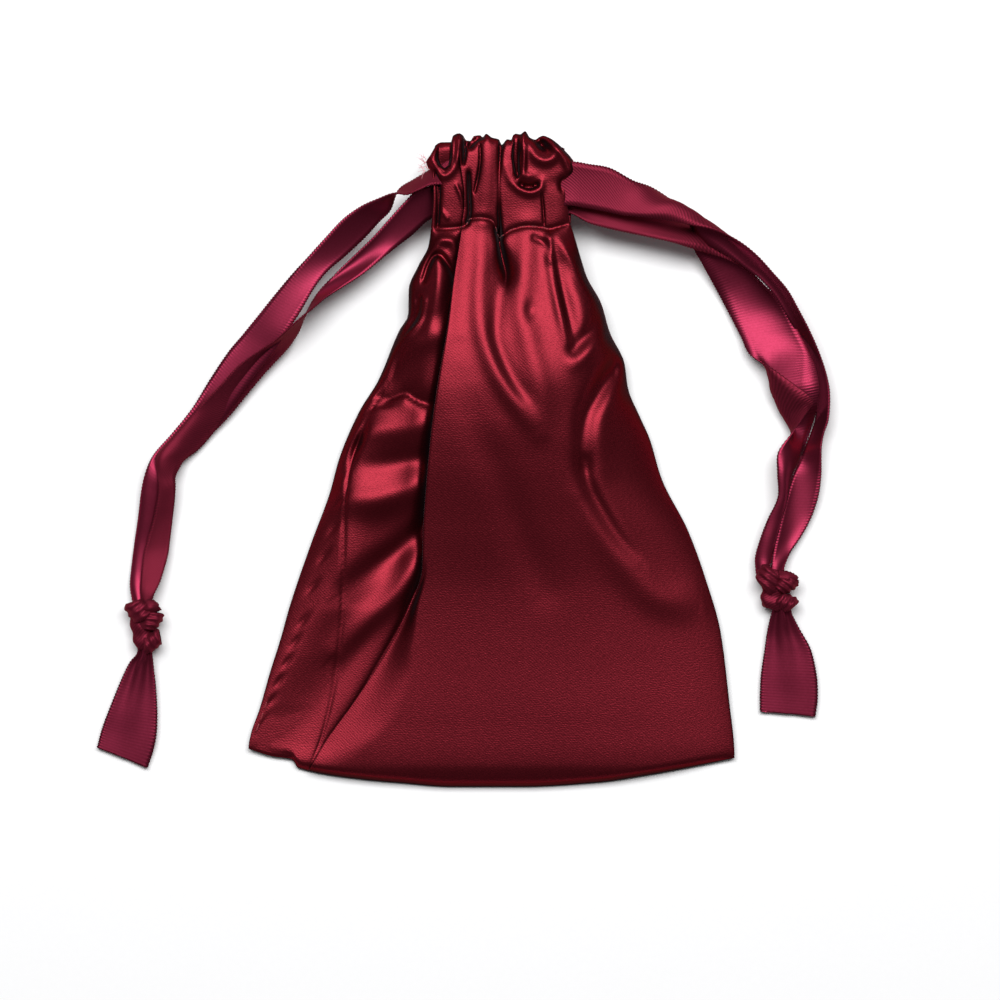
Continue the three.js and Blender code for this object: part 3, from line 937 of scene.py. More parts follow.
RIGHT_BACK = RibbonStrip(
    "right_strand_back",
    (
        ((5.4, 50.0, 4.8), (5.4, 47.8, 4.4), (5.4, 45.6, 4.8)),
        ((10.0, 48.5, 5.6), (10.0, 47.0, 5.2), (10.0, 45.4, 6.0)),
        ((14.1, 48.7, 6.0), (14.1, 47.2, 6.0), (14.3, 45.9, 7.2)),
        ((18.0, 48.0, 6.0), (18.0, 46.3, 6.2), (18.0, 44.1, 7.2)),
        ((23.5, 46.9, 5.6), (23.1, 45.2, 6.2), (22.8, 42.8, 7.0)),
        ((29.1, 45.6, 5.0), (28.5, 43.9, 6.0), (28.1, 41.7, 7.0)),
        ((33.9, 44.8, 4.0), (33.5, 43.0, 5.8), (33.1, 40.6, 7.2)),
        ((36.9, 43.5, 3.0), (38.1, 42.8, 4.6), (37.2, 39.4, 6.4)),
        ((37.6, 39.6, 3.2), (40.7, 41.1, 3.6), (41.3, 38.3, 5.0)),
        ((39.1, 36.9, 2.8), (43.1, 38.7, 3.0), (44.8, 37.0, 4.2)),
        ((40.7, 34.1, 1.9), (46.1, 35.9, 2.1), (48.1, 35.0, 3.4)),
        ((42.6, 30.7, 1.2), (48.0, 32.4, 1.4), (51.3, 32.0, 2.8)),
        ((44.6, 26.9, 1.3), (50.2, 28.3, 1.1), (54.3, 28.9, 2.5)),
        ((46.5, 23.1, 1.8), (52.0, 24.1, 1.6), (56.7, 24.6, 2.7)),
        ((48.0, 20.0, 2.6), (53.5, 20.2, 2.3), (59.1, 20.0, 3.2)),
        ((51.9, 17.2, 4.6), (52.4, 15.6, 2.2), (60.2, 16.7, 3.8)),
        ((55.4, 14.6, 5.6), (52.2, 12.8, 2.0), (60.6, 13.9, 4.2)),
        ((58.3, 12.4, 6.0), (53.3, 9.8, 1.9), (60.4, 11.1, 3.4)),
        ((59.4, 10.9, 5.2), (54.6, 7.6, 1.9), (60.0, 8.5, 1.8)),
        ((57.8, 8.3, 4.4), (55.6, 5.6, 2.2), (59.4, 6.3, 0.9)),
        ((55.6, 5.2, 4.2), (55.7, 3.5, 3.0), (58.3, 3.3, 0.9)),
        ((53.1, 1.7, 4.4), (55.0, 0.9, 3.8), (57.0, 0.2, 1.6)),
        ((53.0, -2.0, 4.6), (54.4, -2.2, 4.6), (55.7, -2.6, 2.8)),
        ((53.1, -6.5, 4.2), (54.1, -6.7, 4.3), (54.8, -7.0, 3.4)),
        ((51.3, -10.6, 3.4), (52.6, -10.7, 3.7), (53.7, -10.9, 3.2)),
        ((50.0, -14.1, 2.9), (51.5, -14.3, 3.4), (52.8, -14.4, 2.8)),
        ((49.1, -17.4, 2.4), (50.6, -17.6, 3.1), (52.0, -17.6, 2.6)),
        ((49.1, -19.4, 2.4), (50.4, -19.6, 3.2), (51.5, -19.6, 2.8)),
        ((49.3, -21.5, 2.4), (50.6, -21.7, 3.2), (51.7, -21.7, 2.8)),
    ),
    satin_first=False,
)


def level_run(edges: Point3, run: Sequence[Point3]) -> tuple[Station, ...]:
    """Lay a ribbon along X.

    Args:
        edges: The y of one edge, the middle and the other edge.
        run: For each station, its x and the heights of both edges and of the middle.

    Returns:
        The stations.
    """
    first, middle, last = edges
    return tuple(((x, first, edge), (x, middle, rise), (x, last, edge)) for x, edge, rise in run)


LEFT_HIDDEN = RibbonStrip(
    "left_ribbon_in_casing",
    level_run(
        (56.7, 54.3, 51.9),
        (
            (-5.0, 7.2, 6.8), (1.7, 5.8, 5.6), (8.7, 5.8, 5.6), (10.9, 5.6, 5.4), (11.7, 4.9, 4.9),
            (10.9, 4.2, 4.2), (8.7, 4.0, 3.9), (1.7, 4.6, 4.4), (-5.0, 4.6, 4.3),
        ),
    ),
)
RIGHT_HIDDEN = RibbonStrip(
    "right_ribbon_in_casing",
    level_run(
        (50.0, 47.8, 45.6),
        (
            (5.0, 7.2, 6.8), (-0.2, 6.0, 5.8), (-5.4, 5.9, 5.7), (-8.0, 5.7, 5.5),
            (-8.7, 5.8, 5.8), (-8.0, 5.0, 5.0), (-5.4, 4.6, 4.4), (-0.2, 4.6, 4.4),
            (5.0, 4.6, 4.3),
        ),
    ),
)
LEFT_END = RibbonEnd(
    "left",
    wraps=[
        Wrap((-64.6, -30.6, 2.0), 98, 2.1, 1.7, 8.6, 0.3, 3, 0.4),
        Wrap((-65.0, -27.6, 2.9), 128, 2.1, 1.9, 4.4, 0.5, 3, 1.2),
        Wrap((-62.9, -29.4, 2.9), 60, 1.7, 1.8, 3.6, -0.4, 3, 2.1),
        Wrap((-62.8, -33.2, 2.6), 35, 1.6, 1.7, 3.6, 0.5, 3, 0.9),
    ],
    flap=(
        ((-64.8, -26.3, 3.4), (-63.9, -27.4, 4.2), (-63.1, -28.9, 3.2)),
        ((-63.7, -25.6, 3.8), (-63.0, -26.9, 4.6), (-62.4, -28.1, 3.6)),
        ((-62.6, -25.6, 3.6), (-62.0, -26.5, 4.2), (-61.7, -27.6, 3.4)),
        ((-61.9, -26.1, 3.3), (-61.5, -26.7, 3.8), (-61.3, -27.4, 3.2)),
    ),
    tail_top=(
        ((-65.2, -34.1, 2.6), (-64.1, -34.1, 3.0), (-63.0, -34.1, 2.6)),
        ((-65.7, -35.7, 1.9), (-64.3, -35.9, 2.5), (-62.8, -35.9, 2.0)),
        ((-67.0, -37.2, 1.3), (-64.8, -37.6, 1.9), (-62.6, -38.1, 1.5)),
        ((-68.7, -40.7, 1.1), (-65.6, -41.5, 1.5), (-62.2, -42.2, 1.2)),
        ((-70.9, -46.1, 1.0), (-66.7, -46.9, 1.3), (-62.0, -47.6, 1.1)),
        ((-72.2, -49.6, 0.9), (-67.6, -50.9, 1.1), (-62.4, -52.0, 1.1)),
        ((-73.1, -53.0, 0.9), (-68.5, -54.8, 1.0), (-63.9, -56.7, 0.9)),
    ),
    tail_under=(
        ((-65.2, -34.3, 1.6), (-64.1, -34.3, 1.8), (-63.1, -34.3, 1.6)),
        ((-65.6, -35.9, 0.9), (-64.3, -36.1, 1.3), (-63.0, -36.1, 0.9)),
        ((-66.7, -37.4, 0.5), (-64.6, -38.0, 0.8), (-62.8, -38.5, 0.5)),
        ((-68.3, -40.9, 0.4), (-65.4, -41.9, 0.6), (-62.4, -42.6, 0.4)),
        ((-70.6, -46.1, 0.35), (-66.5, -47.2, 0.5), (-62.2, -48.1, 0.35)),
        ((-71.9, -49.8, 0.35), (-67.4, -51.3, 0.4), (-62.6, -52.6, 0.35)),
        ((-72.8, -52.6, 0.35), (-68.3, -54.4, 0.35), (-63.7, -56.3, 0.35)),
    ),
)
RIGHT_END = RibbonEnd(
    "right",
    wraps=[
        Wrap((52.6, -23.6, 2.0), 82, 2.4, 1.8, 7.6, 0.3, 3, 0.2),
        Wrap((51.4, -21.8, 3.0), 62, 2.4, 1.9, 3.8, 0.6, 3, 1.0),
        Wrap((54.4, -22.6, 3.0), 35, 1.8, 1.8, 3.4, -0.4, 3, 2.4),
        Wrap((54.6, -26.0, 2.7), 150, 1.7, 1.7, 3.4, 0.4, 3, 0.6),
    ],
    flap=(
        ((53.1, -20.0, 3.4), (53.3, -21.3, 4.2), (53.5, -22.8, 3.3)),
        ((54.4, -20.2, 3.8), (54.8, -21.5, 4.6), (55.0, -23.0, 3.6)),
        ((55.7, -20.6, 3.6), (55.9, -21.5, 4.2), (55.9, -22.8, 3.4)),
        ((56.5, -21.1, 3.3), (56.7, -21.7, 3.8), (56.7, -22.4, 3.2)),
    ),
    tail_top=(
        ((52.4, -27.0, 2.6), (53.9, -27.0, 3.0), (55.4, -27.0, 2.6)),
        ((51.9, -28.5, 1.9), (53.9, -28.7, 2.5), (55.9, -28.5, 2.0)),
        ((51.3, -31.5, 1.2), (54.1, -31.5, 1.8), (57.4, -31.3, 1.4)),
        ((50.9, -34.4, 1.0), (54.6, -34.6, 1.5), (59.3, -34.8, 1.2)),
        ((50.2, -39.3, 0.9), (55.0, -39.4, 1.3), (60.4, -39.6, 1.1)),
        ((50.0, -43.0, 0.9), (55.2, -43.3, 1.1), (60.6, -43.7, 1.0)),
        ((50.0, -46.3, 0.9), (55.0, -46.7, 1.0), (60.2, -47.2, 0.9)),
    ),
    tail_under=(
        ((52.6, -27.0, 1.6), (53.9, -27.0, 1.8), (55.2, -27.0, 1.6)),
        ((52.0, -28.7, 0.9), (53.9, -28.9, 1.3), (55.7, -28.7, 0.9)),
        ((51.5, -31.7, 0.5), (54.1, -31.7, 0.8), (57.0, -31.5, 0.5)),
        ((51.1, -34.6, 0.4), (54.6, -34.8, 0.6), (59.1, -35.0, 0.4)),
        ((50.4, -39.4, 0.35), (55.0, -39.6, 0.5), (60.2, -39.8, 0.35)),
        ((50.2, -42.8, 0.35), (55.2, -43.1, 0.4), (60.4, -43.5, 0.35)),
        ((50.2, -45.9, 0.35), (55.0, -46.3, 0.35), (60.0, -46.9, 0.35)),
    ),
)


# ------------------------------------------------------------------------ the pouch's cloth

SEAM_TURN = np.array([[0.25, 1.2, 2.6, 4.1, 5.5]])  # the rows of a seam allowance, inward
BOTTOM_LEVEL = -57.5  # the grid's first row, before it follows the bottom's curve
TOP_LEVEL = 58.5  # its last row, before it follows the mouth's scallops
BOTTOM_REACH = -30.0  # the bottom's curve fades out by here
TOP_REACH = 50.0  # the mouth's scallops start here
NECK_LEVEL = 34.0  # the rows stand closer from here up
CASING_FOOT = 43.9  # the turned-in top ends here, at the stitching
MOUTH_ROLL = ((0.22, 0.3), (0.24, 0.75), (0.0, 1.1))  # rows round the edge: out, and over
MOUTH_LINE = 60.0  # a pocket's floor rises toward the mouth, up to here
BACK_GATHERS = 7
FOLD_REACH = 2.6  # a fold ends this many widths from its route
ROUND_FALL = 1.5  # how fast a round fold falls away from its crest
SHARP_FALL = 2.1  # the same for a sharp one
STITCH_ROUTE = (
    (-10.2, 43.0), (-8.1, 43.0), (-6.3, 43.1), (-4.6, 43.5), (-3.9, 44.6), (-1.5, 44.8),
    (0.4, 44.1), (1.3, 41.7), (2.0, 41.5), (3.7, 42.6), (6.5, 43.3), (9.3, 43.1), (10.7, 42.8),
    (12.6, 43.3), (14.4, 43.9),
)


class Panel(Enum):
    """The part of the upper cloth that a fold lies on."""

    WHOLE = "whole"
    LEFT = "left of the long lap"
    MAIN = "right of the long lap"


class Crest(Enum):
    """How a fold's crest turns."""

    ROUND = "round"
    SHARP = "sharp"


def nearest(route: np.ndarray, x: np.ndarray, y: np.ndarray) -> tuple[np.ndarray, np.ndarray]:
    """Measure from points to a route.

    Args:
        route: The route's points.
        x: The points' x.
        y: The points' y.

    Returns:
        The distance, over 0 to the left of the way along, and the place on the route.
    """
    least = np.full(x.shape, np.inf)
    signed = np.zeros(x.shape)
    place = np.zeros(x.shape)
    for i, (start, end) in enumerate(zip(route[:-1], route[1:])):
        way = end - start
        t = ((x - start[0]) * way[0] + (y - start[1]) * way[1]) / (way @ way)
        t = np.clip(t, 0, 1)
        dx = x - start[0] - t * way[0]
        dy = y - start[1] - t * way[1]
        distance = np.hypot(dx, dy)
        closer = distance < least
        least = np.where(closer, distance, least)
        side = np.where(way[0] * dy - way[1] * dx >= 0, 1, -1)
        signed = np.where(closer, side * distance, signed)
        place = np.where(closer, i + t, place)
    return signed, place


@dataclass(frozen=True)
class Fold:
    """A ridge, or with heights under 0 a furrow, along a route over the cloth.

    Its two widths are to the left and to the right of the way along.
    """

    route: Sequence[Point2]
    heights: Sequence[float]
    left: float | Sequence[float]
    right: float | Sequence[float]
    panel: Panel = Panel.MAIN
    crest: Crest = Crest.ROUND

    def lift(self, x: np.ndarray, y: np.ndarray) -> np.ndarray:
        """Read how far the fold lifts the cloth.

        Args:
            x: The points' x, in one row.
            y: The points' y.

        Returns:
            The lift at each point.
        """
        knots = np.array(self.route, float)
        fine = 5
        steps = np.linspace(0, len(knots) - 1, fine * (len(knots) - 1) + 1)
        route = catmull(knots, steps)
        reach = FOLD_REACH * max(np.max(self.left), np.max(self.right))
        low = route.min(axis=0) - reach
        high = route.max(axis=0) + reach
        near = (x > low[0]) & (x < high[0]) & (y > low[1]) & (y < high[1])
        lift = np.zeros(x.shape)
        if not near.any():
            return lift
        distance, place = nearest(route, x[near], y[near])
        place = place / fine
        tables = [np.broadcast_to(t, len(knots)) for t in (self.heights, self.left, self.right)]
        heights, left, right = catmull(np.stack(tables, -1).astype(float), place).T
        share = distance / np.where(distance > 0, left, right)
        if self.crest is Crest.ROUND:
            shape = np.exp(-ROUND_FALL * share**2)
        else:
            shape = np.exp(-SHARP_FALL * (np.sqrt(share**2 + 0.01) - 0.1))
        lift[near] = heights * shape
        return lift


@dataclass(frozen=True)
class Dimple:
    """A small hollow, or with a depth under 0 a bump, longer one way than the other."""

    place: Point2
    depth: float
    length: float
    width: float
    degrees: float = 90.0
    panel: Panel = Panel.WHOLE

    def lift(self, x: np.ndarray, y: np.ndarray) -> np.ndarray:
        """Read how far the hollow lifts the cloth, which is under 0."""
        angle = math.radians(self.degrees)
        dx = x - self.place[0]
        dy = y - self.place[1]
        along = (dx * math.cos(angle) + dy * math.sin(angle)) / self.length
        across = (dy * math.cos(angle) - dx * math.sin(angle)) / self.width
        return -self.depth * np.exp(-(along**2) - across**2)


@dataclass(frozen=True)
class Pocket:
    """A hollow with a clear outline, where a gather of the casing curls back on itself."""

    outline: Sequence[Point2]
    depth: float
    softness: float
    panel: Panel = Panel.WHOLE

    def lift(self, x: np.ndarray, y: np.ndarray) -> np.ndarray:
        """Read how far the pocket lifts the cloth, which is under 0."""
        ring = np.array([*self.outline, self.outline[0]], float)
        inside = np.zeros(x.shape, bool)
        for start, end in zip(ring[:-1], ring[1:]):
            rise = end[1] - start[1]
            if rise == 0:
                continue
            crosses = (start[1] > y) != (end[1] > y)
            inside ^= crosses & (x < (end[0] - start[0]) * (y - start[1]) / rise + start[0])
        distance = np.abs(nearest(ring, x, y)[0])
        low, high = min(ring[:, 1]), min(max(ring[:, 1]), MOUTH_LINE)
        slope = 1 - 0.8 * np.clip((y - low) / (high - low), 0, 1)
        return -self.depth * np.where(inside, ramp(distance, 0, self.softness), 0) * slope



FOLDS: list[Fold | Dimple | Pocket] = [
    # The gathers that run down from the stitching.
    Fold(((-4.6, 43.3), (-4.8, 37.4), (-5.4, 30.0), (-5.7, 23.5)), (0.3, 0.3, 0.2, 0.1), 1.6, 1.6),
    Fold(
        (
            (-1.9, 43.7), (-1.9, 37.4), (-2.2, 30.0), (-1.5, 23.5), (1.1, 16.7), (4.8, 10.6),
            (8.7, 5.6),
        ),
        (0.5, 0.8, 0.8, 0.8, 0.9, 0.8, 0.3), 2.4, 2.4,
    ),
    Fold(
        ((1.3, 42.6), (1.7, 39.6), (2.2, 37.0), (2.8, 34.4), (2.6, 31.9)),
        (-2.6, -3.2, -3.0, -2.2, -0.5), (0.6, 0.8, 1.5, 2.0, 2.0), (0.6, 0.7, 1.3, 2.0, 2.0),
        crest=Crest.SHARP,
    ),
    Fold(
        ((1.7, 31.9), (1.1, 27.2), (0.9, 22.6), (2.4, 18.0), (4.8, 13.7), (7.4, 10.6)),
        (-0.3, -0.4, -0.5, -0.6, -0.5, -0.1), 1.7, 1.7,
    ),
    Fold(
        ((6.7, 43.3), (6.3, 37.4), (5.7, 30.0), (6.9, 21.7), (9.1, 13.3), (10.2, 5.9)),
        (0.5, 0.8, 0.8, 0.8, 0.6, 0), 2.8, 2.8,
    ),
    Dimple((7.2, 27.6), 0.55, 1.9, 1.3, 90, Panel.MAIN),
    Fold(((8.0, 41.1), (10.0, 40.0), (10.9, 37.8)), (-0.3, -0.4, -0.1), 0.8, 0.8),
    # The hollow right of the gathers.
    Fold(
        ((10.7, 41.1), (11.1, 37.0), (12.0, 31.9), (13.0, 26.7), (14.1, 21.7)),
        (0.6, 0.9, 0.8, 0.7, 0.2), 0.9, 1.4,
    ),
    Fold(
        ((11.7, 35.6), (13.3, 30.4), (14.6, 25.4), (15.4, 20.7)),
        (-0.5, -0.9, -0.8, -0.3), 2.0, 1.4,
    ),
    Fold(((12.0, 41.1), (14.3, 38.1), (16.9, 34.6), (19.1, 30.7)), (0.5, 0.8, 0.8, 0.4), 1.6, 1.6),
    Fold(((15.0, 20.4), (17.4, 23.0), (19.8, 26.3)), (-0.5, -0.8, -0.4), 1.5, 1.5),
    Fold(((15.4, 17.8), (18.3, 20.4), (21.3, 23.5)), (0.3, 0.6, 0.4), 1.8, 1.8),
    # The deep crease in from the right edge, and its long run down to the right.
    Fold(
        (
            (25.0, 18.1), (22.8, 17.4), (20.7, 14.6), (19.1, 11.7), (17.6, 8.5), (17.0, 4.1),
            (17.2, -0.7),
        ),
        (-1.2, -1.8, -1.8, -1.5, -1.2, -0.8, -0.6), 2.2, 2.0,
    ),
    Fold(
        ((25.4, 14.8), (22.8, 12.2), (20.7, 8.5), (19.8, 4.1), (20.2, -0.4)),
        (0.4, 0.6, 0.5, 0.4, 0.2), 3.0, 2.6,
    ),
    Fold(
        ((17.2, 0.0), (18.0, -4.1), (20.6, -9.3), (23.9, -14.4), (27.6, -18.5)),
        (-0.6, -1.0, -0.9, -0.6, -0.1), 1.5, 2.2,
    ),
    Fold(
        ((-4.6, 14.4), (-2.4, 5.9), (1.7, -3.3), (5.7, -14.4), (10.0, -23.7)),
        (-0.2, -0.4, -0.4, -0.4, -0.2), 4.0, 4.0,
    ),
    # Left of the long lap.
    Fold(((-24.6, 5.6), (-17.8, 5.9), (-11.7, 6.7)), (0.7, 0.9, 1.0), 3.0, 3.0, Panel.LEFT),
    Fold(((-24.6, -0.7), (-18.7, -0.2), (-12.4, 0.7)), (-0.4, -0.8, -1.0), 2.6, 2.6, Panel.LEFT),
    Fold(((-26.1, -7.0), (-20.6, -7.0), (-13.5, -4.8)), (0.9, 1.4, 1.4), 3.4, 3.4, Panel.LEFT),
    Fold(
        (
            (-27.0, -23.3), (-23.9, -20.9), (-20.2, -18.5), (-16.5, -15.9), (-13.9, -13.3),
            (-11.9, -11.1),
        ),
        (-0.4, -0.8, -1.2, -1.4, -1.4, -1.0), 2.6, 3.2, Panel.LEFT,
    ),
    Fold(
        ((-12.4, -18.1), (-17.2, -24.1), (-23.1, -29.6), (-28.3, -34.8)),
        (0.8, 1.2, 1.1, 0.5), 2.4, 3.2, Panel.LEFT,
    ),
    Fold(
        (
            (-21.3, 11.9), (-19.4, 11.3), (-17.6, 12.0), (-15.7, 12.6), (-13.9, 11.5),
            (-12.0, 10.7), (-10.4, 10.6),
        ),
        (-0.6, -1.2, -1.3, -1.4, -1.4, -1.3, -1.0), 4.2, 1.3, Panel.LEFT, Crest.SHARP,
    ),
    Fold(
        ((-23.1, 9.4), (-21.3, 10.2), (-19.1, 10.6), (-17.0, 10.6)),
        (-0.2, -0.5, -0.5, -0.1), 0.5, 0.5, Panel.LEFT, Crest.SHARP,
    ),
    Fold(((-18.3, 20.4), (-14.3, 21.9), (-8.7, 23.3)), (0.4, 0.7, 0.7), 2.6, 2.6, Panel.LEFT),
    Fold(((-18.5, 20.4), (-18.9, 16.7), (-19.4, 13.3)), (0.3, 0.4, 0.2), 1.0, 1.0, Panel.LEFT),
    # The leaf-shaped bulge under the casing, and the arch over it.
    Fold(
        ((-9.8, 37.0), (-9.6, 33.7), (-10.0, 30.0), (-11.3, 24.8)),
        (0.9, 1.2, 1.0, 0.4), 2.0, 1.8, Panel.LEFT,
    ),
    Fold(
        (
            (-12.4, 33.3), (-11.7, 35.9), (-10.6, 37.8), (-9.3, 38.0), (-8.0, 36.5), (-6.7, 34.1),
            (-6.3, 30.7),
        ),
        (-0.7, -1.0, -1.3, -1.3, -1.2, -1.0, -0.4), 0.65, 0.75, Panel.LEFT,
    ),
    Fold(
        ((-10.6, 39.3), (-9.3, 40.6), (-7.2, 40.4), (-6.1, 38.5)),
        (0.7, 0.9, 0.9, 0.6), 1.2, 1.2, Panel.LEFT,
    ),
    Dimple((-14.6, 26.3), 1.2, 2.0, 0.8, 60, Panel.LEFT),
    Fold(
        ((-12.2, 29.6), (-13.0, 26.3), (-15.0, 23.7), (-17.0, 21.5)),
        (0.6, 0.8, 0.8, 0.4), 0.8, 0.8, Panel.LEFT,
    ),
    Dimple((-14.4, 33.0), 0.7, 1.2, 0.7, 20, Panel.LEFT),
    Dimple((-13.7, 30.0), 0.7, 0.9, 0.7, 60, Panel.LEFT),
    Fold(
        (
            (-23.1, 7.8), (-25.7, 0.4), (-26.9, -7.0), (-27.2, -15.4), (-27.4, -23.7),
            (-27.8, -31.1), (-29.3, -42.2), (-31.3, -50.6), (-33.5, -56.1),
        ),
        (0, -0.35, -0.4, -0.4, -0.4, -0.4, -0.35, -0.3, 0), 0.45, 0.45, Panel.LEFT, Crest.SHARP,
    ),
    Dimple((-24.6, 3.5), 1.4, 3.4, 0.9, 68, Panel.LEFT),
    Dimple((-28.0, -4.1), -0.5, 1.6, 0.9, 60, Panel.LEFT),
    Fold(
        ((-38.1, -54.6), (-36.7, -56.1), (-35.4, -57.4)),
        (-0.5, -0.8, -0.6), 0.6, 0.6, Panel.LEFT,
    ),
    Fold(
        ((18.0, -6.3), (21.3, -12.6), (26.1, -20.4), (31.7, -25.2), (38.7, -26.3)),
        (0.3, 0.6, 0.8, 0.7, 0.2), 4.0, 4.0, Panel.MAIN,
    ),
    # The gathers of the casing, from left to right.
    Fold(
        ((-10.2, 53.0), (-9.6, 50.4), (-9.6, 47.6), (-9.8, 43.7)),
        (-1.0, -1.4, -1.0, -1.2), 0.6, 0.6, Panel.WHOLE, Crest.SHARP,
    ),
    Pocket(
        (
            (-10.2, 57.8), (-10.3, 55.9), (-9.8, 54.4), (-8.5, 53.5), (-7.4, 54.3), (-7.0, 55.9),
            (-6.9, 57.8), (-6.9, 63.3), (-10.2, 63.3),
        ),
        2.4, 0.7,
    ),
    Fold(
        ((-10.9, 57.4), (-10.7, 55.2), (-9.6, 53.1), (-8.3, 52.5), (-6.9, 53.7), (-6.1, 55.9)),
        (0.3, 0.5, 0.6, 0.6, 0.5, 0.3), 0.8, 0.8, Panel.WHOLE,
    ),
    Fold(((-5.9, 60.0), (-5.9, 57.8), (-6.1, 55.2)), (0.9, 0.8, 0.3), 0.7, 0.6, Panel.WHOLE),
    Fold(
        ((-4.8, 59.6), (-4.8, 57.4), (-5.0, 54.8)),
        (-1.4, -2.2, -0.8), 0.4, 0.4, Panel.WHOLE, Crest.SHARP,
    ),
    Fold(((-3.9, 58.1), (-3.0, 59.1), (-1.9, 59.8)), (-2.0, -2.6, -2.2), 0.75, 0.75, Panel.WHOLE),
    Fold(
        ((-2.0, 58.1), (-2.0, 55.0), (-2.4, 52.2), (-3.0, 49.6)),
        (-0.8, -0.9, -1.1, -0.6), 0.35, 0.35, Panel.WHOLE, Crest.SHARP,
    ),
    Fold(
        ((-4.1, 53.0), (-4.0, 49.4), (-3.9, 45.9), (-4.3, 44.1)),
        (-1.2, -2.0, -2.0, -1.6), 0.45, 0.45, Panel.WHOLE, Crest.SHARP,
    ),
    Fold(((-6.3, 50.7), (-5.6, 49.1), (-5.2, 47.4)), (0.3, 0.4, 0.2), 0.5, 0.5, Panel.WHOLE),
    Fold(((-8.9, 45.9), (-8.0, 44.8)), (0.3, 0.3), 0.5, 0.5, Panel.WHOLE),
    Fold(
        ((-0.7, 59.6), (-0.6, 54.1), (-0.9, 48.5), (-1.3, 44.1)),
        (0.5, 0.5, 0.4, 0.3), 1.8, 1.8, Panel.WHOLE,
    ),
    Fold(
        ((1.9, 59.1), (1.7, 56.3), (1.5, 52.2), (1.5, 48.5), (1.5, 45.6), (1.7, 41.5)),
        (-2.6, -1.6, -0.4, -0.4, -1.4, -2.6), 0.45, 0.45, Panel.WHOLE, Crest.SHARP,
    ),
    Pocket(
        (
            (3.9, 58.3), (3.7, 55.9), (4.1, 53.3), (4.8, 51.9), (5.4, 52.4), (5.3, 55.9),
            (5.4, 58.1), (5.0, 63.3), (4.1, 63.3),
        ),
        2.6, 0.5,
    ),
    Fold(
        ((2.6, 54.4), (3.7, 51.5), (5.4, 50.0), (7.2, 49.4), (8.9, 50.0), (9.3, 51.5)),
        (0.2, 0.4, 0.6, 0.7, 0.6, 0.3), 0.9, 0.9, Panel.WHOLE,
    ),
    Fold(
        ((5.4, 50.9), (7.0, 50.4), (8.5, 50.9)),
        (-1.4, -2.0, -1.6), 0.55, 0.45, Panel.WHOLE, Crest.SHARP,
    ),
    Fold(((5.9, 60.0), (6.1, 55.9), (5.9, 52.6)), (1.0, 0.8, 0.4), 0.6, 0.6, Panel.WHOLE),
    Dimple((6.7, 52.4), -0.5, 1.3, 0.8, 0),
    Fold(
        ((7.0, 57.8), (8.3, 55.9), (10.0, 55.2), (11.5, 55.9), (12.2, 57.8)),
        (0.5, 0.7, 0.8, 0.7, 0.4), 1.1, 1.1, Panel.WHOLE,
    ),
    Dimple((9.4, 58.4), 2.8, 1.3, 0.8, -48),
    Fold(((11.3, 58.5), (13.1, 56.3), (14.4, 53.7)), (0.7, 0.9, 0.7), 1.2, 1.0, Panel.WHOLE),
    Dimple((13.5, 50.9), 2.0, 1.0, 0.7),
    Fold(
        ((9.3, 49.3), (9.6, 46.7), (9.8, 43.7)),
        (-0.5, -0.7, -0.6), 0.35, 0.35, Panel.WHOLE, Crest.SHARP,
    ),
    Fold(STITCH_ROUTE, (-0.7,) * 15, 0.8, 0.8, Panel.WHOLE, Crest.SHARP),
]
SEAM_PUCKERS = (
    (-27.8, -7.0), (-29.1, -12.2), (-30.9, -17.4), (-33.0, -23.0), (-34.8, -29.4), (-36.3, -33.3),
    (-37.8, -37.0), (-39.4, -40.7), (-40.9, -44.4), (-42.6, -49.3),
)
FOLDS += [Dimple(place, 0.28, 1.7, 0.55, 50, Panel.LEFT) for place in SEAM_PUCKERS]


